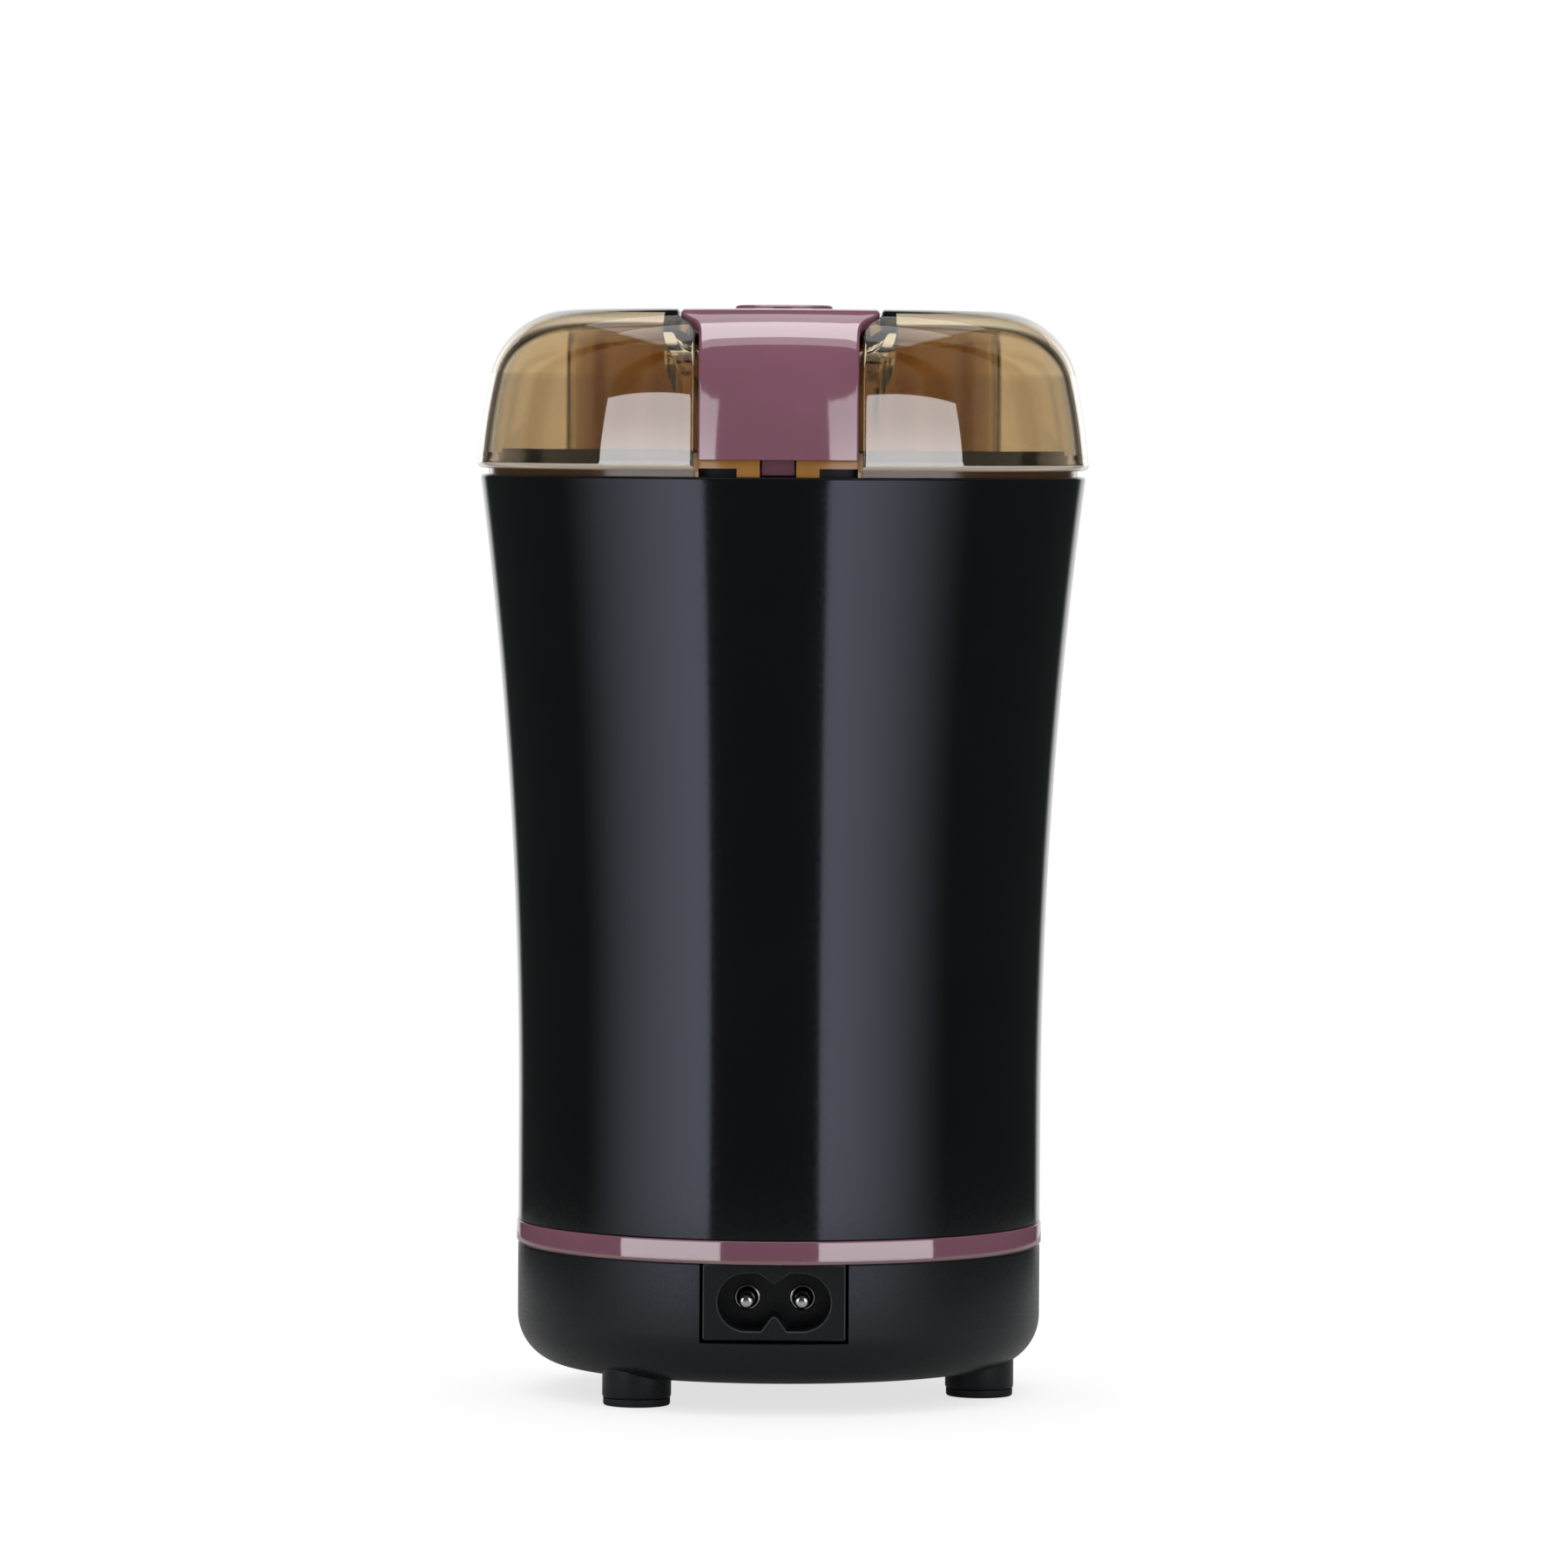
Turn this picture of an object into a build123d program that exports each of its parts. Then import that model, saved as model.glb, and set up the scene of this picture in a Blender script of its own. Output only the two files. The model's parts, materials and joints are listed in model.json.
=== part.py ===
from build123d import *
import math
import os

# Press-lid electric grinder. Origin on the axis at the worktop, +Z up, mains inlet facing -Y.
# All sizes are in millimetres.

# Heights of the stack that shows, from the worktop up
FOOT_HEIGHT = 4.4
BASE_HEIGHT = 19.2
RING_HEIGHT = 3.6
SHELL_HEIGHT = 118.0
SEAM = 1.6
LID_HEIGHT = 24.4

# Clearances
SLIDE_GAP = 0.3
FIT_GAP = 0.05
RUN_GAP = 0.03

# Radii of the body, from the bowl outwards: the motor sets the least body radius
BOWL_RADIUS = 35.0
BODY_LANE = 6.4
RIM_WIDTH = 12.9
LID_OVERHANG = 0.5
MOTOR_CASE_RADIUS = 41.4
BASE_RADIUS = max(MOTOR_CASE_RADIUS, BOWL_RADIUS + BODY_LANE)
SHELL_LOW_RADIUS = BASE_RADIUS
SHELL_TOP_RADIUS = BOWL_RADIUS + RIM_WIDTH
LID_RADIUS = SHELL_TOP_RADIUS + LID_OVERHANG

# Base and feet
BASE_WALL = 2.2
BASE_CORNER = 8.0
BASE_LIP_WALL = 1.0
BASE_LIP_RISE = 1.8
FOOT_INSET = 8.8
FOOT_CIRCLE = BASE_RADIUS - FOOT_INSET
FOOT_TURN = -41.7
FOOT_COUNT = 3
FOOT_RADIUS = 5.4
PAD_RADIUS = 5.25
PAD_HEIGHT = 1.2
PAD_STEM = 3.2
BOSS_RADIUS = 4.6
BOSS_HEIGHT = 8.4
BASE_HEAD_RADIUS = 2.8
BASE_HEAD_HEIGHT = 2.0
BASE_HEAD_DEPTH = 5.8
BASE_SCREW_RADIUS = 1.45
BASE_SCREW_GRIP = 12.0
VENT_COUNT = 12
VENT_WIDTH = 2.4
VENT_INNER = 9.0
VENT_OUTER = 22.0

# Trim ring
RING_PROUD = 0.2
RING_RADIUS = BASE_RADIUS + RING_PROUD
RING_WALL = 2.9
RING_BEVEL = 0.4
SPIGOT_WALL = 1.6
SPIGOT_RISE = 3.0

# Outer shell
SHELL_WALL = 2.2
FLARE_RISE = 17.8
SHELL_EDGE = 0.5
LEDGE_DEPTH = 3.5
LEDGE_HEIGHT = 2.2

# Mains inlet
INLET_WIDTH = 22.1
INLET_HEIGHT = 11.8
INLET_DEPTH = 12.9
INLET_FLANGE = 1.6
INLET_FLANGE_LIP = 1.5
INLET_NOSE = 3.0
LOBE_RADIUS = 4.5
PIN_PITCH = 8.6
PIN_RADIUS = 1.2
PIN_ROOT_RADIUS = 1.6
PIN_RECESS = 1.0
CAVITY_DEPTH = 9.0
RIDGE_WIDTH = 5.0
RIDGE_HEIGHT = 1.8
TAB_LENGTH = 4.1
TAB_WIDTH = 2.8
TAB_THICKNESS = 0.8

# Lid
LID_WALL = 2.2
LID_CORNER = 13.0
LID_SHOULDER = 14.8
LID_FLAT_RADIUS = LID_RADIUS - LID_SHOULDER
LID_LEAN = 13.0
LIP_RECESS = 1.8
LIP_OVERLAP = 1.7
SKIRT_WALL = 1.8
SKIRT_REACH = 5.4
CHANNEL_WALL = 1.2
CHANNEL_SIDE_WALL = 2.0
CHANNEL_GAP = 0.65
LIP_NOTCH_WIDTH = 5.9
LIP_NOTCH_HEIGHT = 1.3
LIP_BLOCK_WIDTH = 12.7
CUP_INSET = 9.8
CUP_CIRCLE = LID_RADIUS - CUP_INSET
CUP_WALL = 1.1
CUP_FLOOR = 1.2
CUP_DEPTH = 14.7

# Press strap
STRAP_WIDTH = 24.7
STRAP_FLARE_WIDTH = 30.0
STRAP_FLARE_INSET = 11.4
STRAP_FLARE_REACH = LID_RADIUS - STRAP_FLARE_INSET
STRAP_FLARE_BEND = 6.0
STRAP_THICKNESS = 1.6
STRAP_TRAVEL = 2.0
STRAP_LIFT = 1.1
BUMP_RADIUS = 7.75
BUMP_HEIGHT = 0.9
TONGUE_WIDTH = 5.0
TONGUE_DEPTH = 2.8
TONGUE_ROOT = 2.5
POST_RADIUS = 1.6
PAD_POST_RADIUS = 2.9
STRAP_SPRING_LENGTH = 8.0
STRAP_SPRING_RADIUS = 2.4
STRAP_SPRING_TURNS = 6
SPRING_WIRE = 0.5
STRAP_HEAD_RADIUS = 2.8
STRAP_HEAD_HEIGHT = 1.4
STRAP_SCREW_RADIUS = 0.9
STRAP_SCREW_GRIP = 6.0

# Rim ring in the top of the shell
RIM_PLATE = 2.5
COLLAR_RISE = 4.0
COLLAR_WALL = 1.7
COLLAR_GAP = 0.8
GUIDE_WALL = 1.5
GUIDE_DROP = 19.7
GUIDE_FLOOR = 2.0

# Bowl
BOWL_WALL = 0.7
BOWL_CORNER = 12.0
BOWL_FLANGE = 4.3
GASKET = 0.6
RIM_GASKET = 0.5
SEAT_INNER = 12.0
SEAT_WALL = 3.0
SEAT_RISE = 3.0

# Motor, from the lower bearing housing up
MOTOR_FLOOR_GAP = 13.4
HUB_HEIGHT = 7.0
HUB_RADIUS = 6.2
WEB = 2.5
WEB_WIDTH = 14.0
WEB_REACH = 22.5
LOWER_PILLAR = 16.0
STACK_HEIGHT = 22.0
UPPER_PILLAR = 13.5
PILLAR_RADIUS = 2.9
PILLAR_OFFSET = 19.25
STACK_HALF_X = 22.0
STACK_HALF_Y = 21.0
STACK_CORNER = 8.0
YOKE = 5.5
BORE_RADIUS = 12.5
SHOE = 1.9
POLE_HALF = 9.2
POLE_TIP_GAP = 8.0
COIL_WALL = 5.8
COIL_DEPTH = 3.6
COIL_GAP = 0.3
BRUSH_ARM = 20.0
HOLDER_WIDTH = 7.0
HOLDER_HEIGHT = 6.0
HOLDER_FOOT = 3.0
HOLDER_INNER = 8.4
HOLDER_LENGTH = 14.0
HOLDER_CAP = 1.2
BRUSH_WIDTH = 5.0
BRUSH_HEIGHT = 4.0
BRUSH_LENGTH = 8.0
BRUSH_SPRING_TURNS = 4
BRUSH_SPRING_RADIUS = 1.5
BRUSH_SPRING_WIRE = 0.4
DAMPER_HEIGHT = 1.5
DAMPER_RADIUS = 4.5
MOTOR_SCREW_RADIUS = 1.5
MOTOR_HEAD_RADIUS = 2.75
MOTOR_HEAD_HEIGHT = 2.0
MOTOR_NUT_FLATS = 5.5
MOTOR_NUT_HEIGHT = 2.4
NECK_RADIUS = 5.5
NECK_RISE = 13.5
SEAL_HEIGHT = 3.0
BEARING_RADIUS = 4.2
UPPER_BEARING_LENGTH = 11.0
LOWER_BEARING_LENGTH = 6.0
BOWL_WASHER = 0.8
BOWL_WASHER_RADIUS = 10.0
BOWL_NUT_FLATS = 16.0
BOWL_NUT_HEIGHT = 3.5

# Rotor
SHAFT_RADIUS = 2.5
SHAFT_TAIL = 1.0
THREAD_RADIUS = 2.0
THREAD_LENGTH = 7.0
ARMATURE_GAP = 0.4
ARMATURE_SLOTS = 12
SLOT_WIDTH = 2.6
SLOT_DEPTH = 5.0
END_TURN = 4.6
END_TURN_TAPER = 2.3
COMMUTATOR_RADIUS = 7.0
COMMUTATOR_GAP = 1.5
COMMUTATOR_BARS = 12
BAR_GROOVE_WIDTH = 0.5
BAR_GROOVE_DEPTH = 0.6
FAN_RADIUS = 15.0
FAN_PLATE = 1.0
FAN_VANE = 4.0
FAN_VANES = 8
FAN_VANE_THICKNESS = 1.0
FAN_HUB_RADIUS = 5.0
FAN_TOP_GAP = 1.5
BLADE_HUB_RADIUS = 5.5
BLADE_HUB_HEIGHT = 4.0
BLADE_HUB_GAP = 0.8
BLADE_LENGTH = 56.0
BLADE_WIDTH = 10.0
BLADE_THICKNESS = 1.2
BLADE_ROOT = 9.0
BLADE_UP = 5.0
BLADE_DOWN = 3.0
BLADE_EDGE = 1.6
BLADE_NUT_FLATS = 8.0
BLADE_NUT_HEIGHT = 4.0

# Chassis that carries the motor, the bowl and the switch
CHASSIS_PLATE = 3.0
COLUMN_RADIUS = 3.4
SWITCH_WALL = 2.0
SWITCH_WALL_HALF = 7.5

# Switch and its push rod
ROD_RADIUS = 1.3
ROD_LANE = 3.3
ROD_OFFSET = BOWL_RADIUS + ROD_LANE
ROD_WIDTH = 5.2
ROD_HEEL = 0.4
ROD_HEAD_HEIGHT = 5.7
ROD_FOOT = 2.0
ROD_FOOT_HALF = 2.0
ROD_NOSE_WALL = 3.2
ROD_FREE_TRAVEL = 0.85
ROD_SPRING_RADIUS = 1.85
ROD_SPRING_TURNS = 7
SWITCH_LENGTH = 12.8
SWITCH_HEIGHT = 6.5
SWITCH_DEPTH = 5.9
SWITCH_LANE = 6.3
SWITCH_OFFSET = ROD_OFFSET - SWITCH_LANE
SWITCH_DROP = 5.8
SWITCH_HOLE_PITCH = 9.5
SWITCH_HOLE_RISE = 1.5
SWITCH_SCREW_RADIUS = 0.9
SWITCH_HEAD_RADIUS = 1.5
SWITCH_HEAD_HEIGHT = 0.9
PLUNGER_RADIUS = 1.3
PLUNGER_RISE = 1.5
PLUNGER_DEPTH = 1.5
PLUNGER_TRAVEL = 1.2
TERMINAL_PITCH = 9.0
TERMINAL_WIDTH = 2.8
TERMINAL_THICKNESS = 0.8
TERMINAL_DROP = 4.5

# Leads
LEAD_RADIUS = 0.8

# Heights worked out from the stack
base_floor = FOOT_HEIGHT + BASE_WALL
base_top = FOOT_HEIGHT + BASE_HEIGHT
ring_top = base_top + RING_HEIGHT
shell_top = ring_top + SHELL_HEIGHT
lid_bottom = shell_top + SEAM
lid_top = lid_bottom + LID_HEIGHT
flare_start = ring_top + FLARE_RISE
boss_top = base_floor + BOSS_HEIGHT
rim_bottom = shell_top - RIM_PLATE
collar_top = shell_top + COLLAR_RISE
guide_floor = rim_bottom - GUIDE_DROP

# Motor heights
hub_bottom = base_floor + MOTOR_FLOOR_GAP
lower_web_top = hub_bottom + HUB_HEIGHT
lower_web = lower_web_top - WEB
stack_bottom = lower_web_top + LOWER_PILLAR
stack_top = stack_bottom + STACK_HEIGHT
upper_web = stack_top + UPPER_PILLAR
upper_web_top = upper_web + WEB
plate_bottom = upper_web_top + DAMPER_HEIGHT
plate_top = plate_bottom + CHASSIS_PLATE
seat_top = plate_top + SEAT_RISE
bowl_bottom = seat_top + GASKET
bowl_floor = bowl_bottom + BOWL_WALL
nut_bottom = bowl_floor + BOWL_WASHER
neck_top = upper_web_top + NECK_RISE
blade_hub_bottom = neck_top + BLADE_HUB_GAP
blade_bottom = blade_hub_bottom + BLADE_HUB_HEIGHT
blade_top = blade_bottom + BLADE_THICKNESS

# Switch train
switch_top = plate_bottom - SWITCH_DROP
switch_bottom = switch_top - SWITCH_HEIGHT
switch_front = SWITCH_OFFSET + SWITCH_DEPTH
switch_middle = SWITCH_OFFSET + SWITCH_DEPTH / 2
plunger_top = switch_top + PLUNGER_RISE
rod_bottom = plunger_top + ROD_FREE_TRAVEL
rod_shoulder = rim_bottom - SLIDE_GAP
rod_block = rod_shoulder - ROD_HEAD_HEIGHT
spring_floor = guide_floor + GUIDE_FLOOR
terminal_end = switch_bottom - TERMINAL_DROP

# Lid and strap
lip_outer = LID_RADIUS - LIP_RECESS
channel_inset = STRAP_THICKNESS + SLIDE_GAP
channel_drop = STRAP_TRAVEL + SLIDE_GAP
lip_inner = LID_RADIUS - channel_inset - CHANNEL_WALL
collar_outer = lip_inner - COLLAR_GAP
channel_half = STRAP_WIDTH / 2 + CHANNEL_GAP
pocket_half = STRAP_FLARE_WIDTH / 2 + CHANNEL_GAP
strap_bottom = lid_bottom + STRAP_LIFT
skirt_outer = BOWL_RADIUS - SLIDE_GAP * 1.5
tongue_front = lip_inner - SLIDE_GAP / 2
tongue_bottom = shell_top + SLIDE_GAP
cup_floor = lid_top - CUP_DEPTH
cup_inner = PAD_POST_RADIUS + SLIDE_GAP
spring_top = cup_floor + STRAP_SPRING_LENGTH
post_bottom = cup_floor - CUP_FLOOR - SLIDE_GAP

# Inlet
inlet_top = base_top - FIT_GAP
inlet_bottom = inlet_top - INLET_HEIGHT
inlet_middle = (inlet_top + inlet_bottom) / 2
inlet_front = math.sqrt(BASE_RADIUS ** 2 - (INLET_WIDTH / 2) ** 2)
inlet_back = inlet_front - INLET_DEPTH
cavity_back = inlet_front - CAVITY_DEPTH
tab_end = inlet_back - TAB_LENGTH

UP = (Align.CENTER, Align.CENTER, Align.MIN)
FAR = 200.0


def drum(radius, bottom, top, at=(0, 0)):
    """Upright cylinder between two heights."""
    return Pos(at[0], at[1], bottom) * Cylinder(radius, top - bottom, align=UP)


def tube(outer, inner, bottom, top, at=(0, 0)):
    """Upright ring between two heights."""
    return drum(outer, bottom, top, at) - drum(inner, bottom, top, at)


def block(x0, x1, y0, y1, z0, z1):
    """Box between two corners."""
    return Pos((x0 + x1) / 2, (y0 + y1) / 2, (z0 + z1) / 2) * Box(x1 - x0, y1 - y0, z1 - z0)


def bar_y(radius, y0, y1, x, z):
    """Cylinder along Y between two stations."""
    return Pos(x, y0, z) * Rot(-90, 0, 0) * Cylinder(radius, y1 - y0, align=UP)


def hexagon(flats, bore, bottom, top, at=(0, 0)):
    """Hexagon nut with a plain bore."""
    outline = RegularPolygon(flats / 2, 6, major_radius=False) - Circle(bore)
    return Pos(at[0], at[1], bottom) * extrude(outline, top - bottom)


def turned(points):
    """Solid of revolution about the axis from (radius, height) corners."""
    outline = Polyline(*[(radius, 0, height) for radius, height in points], close=True)
    return revolve(make_face(outline), Axis.Z)


def around(count, item):
    """Copies of an item spread evenly about the axis."""
    return [Rot(0, 0, 360 / count * turn) * item for turn in range(count)]


def coil_spring(radius, wire, bottom, top, turns, at=(0, 0)):
    """Helical spring of round wire, wound in half turns, seated between two heights."""
    rise = (top - bottom - wire) / turns

    def station(turn):
        angle = 2 * math.pi * turn
        height = bottom + wire / 2 + rise * turn
        return (at[0] + radius * math.cos(angle), at[1] + radius * math.sin(angle), height)

    halves = []
    for half in range(2 * turns):
        start = half / 2
        halves.append(ThreePointArc(station(start), station(start + 0.25), station(start + 0.5)))
    path = Wire(halves)
    section = Plane(origin=path @ 0, z_dir=path % 0) * Circle(wire / 2)
    return sweep(section, path=path)


def lead(points, bends):
    """Round insulated lead along straight runs joined by arcs."""
    path = FilletPolyline(*points, radius=bends)
    section = Plane(origin=path @ 0, z_dir=path % 0) * Circle(LEAD_RADIUS)
    return sweep(section, path=path)


def foot_places():
    """Plan positions of the feet, seen from the inlet side."""
    angles = [math.radians(FOOT_TURN + 360 / FOOT_COUNT * turn) for turn in range(FOOT_COUNT)]
    return [(FOOT_CIRCLE * math.sin(angle), -FOOT_CIRCLE * math.cos(angle)) for angle in angles]


def shell_radius(height):
    """Outer radius of the flared shell at a height."""
    if height <= flare_start:
        return SHELL_LOW_RADIUS
    reach = shell_top - flare_start
    spread = SHELL_TOP_RADIUS - SHELL_LOW_RADIUS
    span = reach ** 2 + spread ** 2
    rise = height - flare_start
    return SHELL_LOW_RADIUS + 2 * spread * rise ** 2 / (span + math.sqrt(span ** 2 - (2 * spread * rise) ** 2))


# Base, feet and trim ring

def base_shell():
    corner = FOOT_HEIGHT + BASE_CORNER
    flat = BASE_RADIUS - BASE_CORNER
    inner = BASE_RADIUS - BASE_WALL
    diagonal = math.sqrt(0.5)
    inside_corner = BASE_CORNER - BASE_WALL
    outer_mid = (flat + BASE_CORNER * diagonal, 0, corner - BASE_CORNER * diagonal)
    inner_mid = (flat + inside_corner * diagonal, 0, corner - inside_corner * diagonal)
    section = make_face([
        Line((0, 0, FOOT_HEIGHT), (flat, 0, FOOT_HEIGHT)),
        ThreePointArc((flat, 0, FOOT_HEIGHT), outer_mid, (BASE_RADIUS, 0, corner)),
        Line((BASE_RADIUS, 0, corner), (BASE_RADIUS, 0, base_top)),
        Line((BASE_RADIUS, 0, base_top), (inner, 0, base_top)),
        Line((inner, 0, base_top), (inner, 0, corner)),
        ThreePointArc((inner, 0, corner), inner_mid, (flat, 0, base_floor)),
        Line((flat, 0, base_floor), (0, 0, base_floor)),
        Line((0, 0, base_floor), (0, 0, FOOT_HEIGHT)),
    ])
    body = revolve(section, Axis.Z)
    lip_outer_radius = RING_RADIUS - RING_WALL - SLIDE_GAP
    lip_inner_radius = lip_outer_radius - BASE_LIP_WALL
    lip = tube(inner + BASE_WALL / 4, lip_inner_radius, base_top - 3 * BASE_LIP_WALL, base_top)
    lip += tube(lip_outer_radius, lip_inner_radius, base_top - BASE_LIP_WALL, base_top + BASE_LIP_RISE)
    flange_half = INLET_WIDTH / 2 + INLET_FLANGE_LIP + SLIDE_GAP
    body += lip - block(-flange_half, flange_half, -FAR, 0, 0, FAR)
    head_seat = PAD_HEIGHT + BASE_HEAD_DEPTH
    for place in foot_places():
        body += drum(FOOT_RADIUS, PAD_HEIGHT, base_floor, place)
        body += drum(BOSS_RADIUS, FOOT_HEIGHT, boss_top, place)
    for place in foot_places():
        body -= drum(BASE_HEAD_RADIUS + SLIDE_GAP / 2, 0, head_seat, place)
        body -= drum(BASE_SCREW_RADIUS + SLIDE_GAP, head_seat, boss_top, place)
    half = INLET_WIDTH / 2 + FIT_GAP
    body -= block(-half, half, -FAR, -inlet_back, inlet_bottom - FIT_GAP, FAR)
    vent = Pos((VENT_INNER + VENT_OUTER) / 2, 0, FOOT_HEIGHT)
    vent *= extrude(SlotOverall(VENT_OUTER - VENT_INNER, VENT_WIDTH), BASE_WALL)
    for opening in around(VENT_COUNT, vent):
        body -= opening
    return body


def foot_pads():
    stem = BASE_HEAD_RADIUS + SLIDE_GAP / 2 - FIT_GAP
    pads = []
    for place in foot_places():
        disc = fillet(drum(PAD_RADIUS, 0, PAD_HEIGHT, place).edges().group_by(Axis.Z)[0], PAD_HEIGHT / 4)
        pads.append(disc + drum(stem, PAD_HEIGHT / 2, PAD_HEIGHT + PAD_STEM, place))
    return pads


def base_screws():
    seat = PAD_HEIGHT + BASE_HEAD_DEPTH
    screws = []
    for place in foot_places():
        head = drum(BASE_HEAD_RADIUS, seat - BASE_HEAD_HEIGHT, seat, place)
        screws.append(head + drum(BASE_SCREW_RADIUS, seat, boss_top + BASE_SCREW_GRIP, place))
    return screws


def trim_ring():
    inner = RING_RADIUS - RING_WALL
    spigot = SHELL_LOW_RADIUS - SHELL_WALL - FIT_GAP
    return turned([
        (inner, base_top),
        (RING_RADIUS - RING_BEVEL, base_top),
        (RING_RADIUS, base_top + RING_BEVEL),
        (RING_RADIUS, ring_top - RING_BEVEL / 2),
        (RING_RADIUS - RING_BEVEL / 2, ring_top),
        (spigot, ring_top),
        (spigot, ring_top + SPIGOT_RISE),
        (spigot - SPIGOT_WALL, ring_top + SPIGOT_RISE),
        (spigot - SPIGOT_WALL, ring_top),
        (inner, ring_top),
    ])


# Flared outer shell

def outer_shell():
    middle = (flare_start + shell_top) / 2

    def skin(inset):
        low = SHELL_LOW_RADIUS - inset
        top = SHELL_TOP_RADIUS - inset
        flare = ThreePointArc((low, 0, flare_start), (shell_radius(middle) - inset, 0, middle), (top, 0, shell_top))
        return [Line((low, 0, ring_top), (low, 0, flare_start)), flare]

    outer = skin(0)
    inner = skin(SHELL_WALL)
    top = Line((SHELL_TOP_RADIUS, 0, shell_top), (SHELL_TOP_RADIUS - SHELL_WALL, 0, shell_top))
    foot = Line((SHELL_LOW_RADIUS, 0, ring_top), (SHELL_LOW_RADIUS - SHELL_WALL, 0, ring_top))
    body = revolve(make_face(outer + inner + [top, foot]), Axis.Z)
    rim = body.edges().group_by(Axis.Z)[-1].sort_by(SortBy.RADIUS)[-1]
    body = fillet(rim, SHELL_EDGE)
    bottom = body.edges().group_by(Axis.Z)[0].sort_by(SortBy.RADIUS)[-1]
    body = chamfer(bottom, SHELL_EDGE / 2)
    rod_half = ROD_WIDTH / 2 + SLIDE_GAP + GUIDE_WALL + SLIDE_GAP
    for height in (plate_bottom, rim_bottom):
        wall = shell_radius(height - LEDGE_HEIGHT) - SHELL_WALL
        ledge = tube(wall + SHELL_WALL / 4, wall - LEDGE_DEPTH, height - LEDGE_HEIGHT, height)
        body += ledge - block(-rod_half, rod_half, -FAR, 0, 0, FAR)
    return body


# Rim ring with the push rod's guide

def rim_ring():
    outer = shell_radius(rim_bottom) - SHELL_WALL - SLIDE_GAP
    inner = BOWL_RADIUS + BOWL_WALL + SLIDE_GAP
    ring = tube(outer, inner, rim_bottom, shell_top)
    ring += tube(collar_outer, collar_outer - COLLAR_WALL, rim_bottom, collar_top)
    slot = ROD_WIDTH / 2 + SLIDE_GAP
    side = slot + GUIDE_WALL
    guide_front = shell_radius(guide_floor) - SHELL_WALL - 3 * SLIDE_GAP
    guide_front = math.sqrt(guide_front ** 2 - side ** 2)
    guide_back = inner + SLIDE_GAP
    for sign in (-1, 1):
        inside = sign * slot
        outside = sign * side
        ring += block(min(inside, outside), max(inside, outside), -guide_front, -guide_back, guide_floor, shell_top)
    ring += block(-side, side, -guide_front, -guide_back, guide_floor, spring_floor)
    ring -= drum(ROD_RADIUS + FIT_GAP, guide_floor, spring_floor, (0, -ROD_OFFSET))
    nose_back = rod_nose_back() - SLIDE_GAP
    ring -= block(-slot, slot, -tongue_front - SLIDE_GAP, -nose_back, rim_bottom, FAR)
    return ring


# Grinding bowl with its gaskets and clamp

def grinding_bowl():
    outer = BOWL_RADIUS + BOWL_WALL
    flange_bottom = shell_top + RIM_GASKET
    rim = flange_bottom + BOWL_WALL
    bore = NECK_RADIUS + SLIDE_GAP
    flat = BOWL_RADIUS - BOWL_CORNER
    corner = bowl_floor + BOWL_CORNER
    outer_corner = BOWL_CORNER + BOWL_WALL
    diagonal = math.sqrt(0.5)
    outer_mid = (flat + outer_corner * diagonal, 0, corner - outer_corner * diagonal)
    inner_mid = (flat + BOWL_CORNER * diagonal, 0, corner - BOWL_CORNER * diagonal)
    section = make_face([
        Line((bore, 0, bowl_bottom), (flat, 0, bowl_bottom)),
        ThreePointArc((flat, 0, bowl_bottom), outer_mid, (outer, 0, corner)),
        Line((outer, 0, corner), (outer, 0, flange_bottom)),
        Line((outer, 0, flange_bottom), (outer + BOWL_FLANGE, 0, flange_bottom)),
        Line((outer + BOWL_FLANGE, 0, flange_bottom), (outer + BOWL_FLANGE, 0, rim)),
        Line((outer + BOWL_FLANGE, 0, rim), (BOWL_RADIUS, 0, rim)),
        Line((BOWL_RADIUS, 0, rim), (BOWL_RADIUS, 0, corner)),
        ThreePointArc((BOWL_RADIUS, 0, corner), inner_mid, (flat, 0, bowl_floor)),
        Line((flat, 0, bowl_floor), (bore, 0, bowl_floor)),
        Line((bore, 0, bowl_floor), (bore, 0, bowl_bottom)),
    ])
    return revolve(section, Axis.Z)


def rim_gasket():
    inner = BOWL_RADIUS + BOWL_WALL + SLIDE_GAP
    outer = min(BOWL_RADIUS + BOWL_WALL + BOWL_FLANGE, rod_nose_back() - SLIDE_GAP)
    return tube(outer, inner, shell_top, shell_top + RIM_GASKET)


def bowl_gasket():
    return tube(SEAT_INNER + SEAT_WALL, SEAT_INNER, seat_top, bowl_bottom)


def bowl_washer():
    return tube(BOWL_WASHER_RADIUS, NECK_RADIUS + FIT_GAP, bowl_floor, nut_bottom)


def bowl_nut():
    return hexagon(BOWL_NUT_FLATS, NECK_RADIUS + FIT_GAP, nut_bottom, nut_bottom + BOWL_NUT_HEIGHT)


# Chassis

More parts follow.
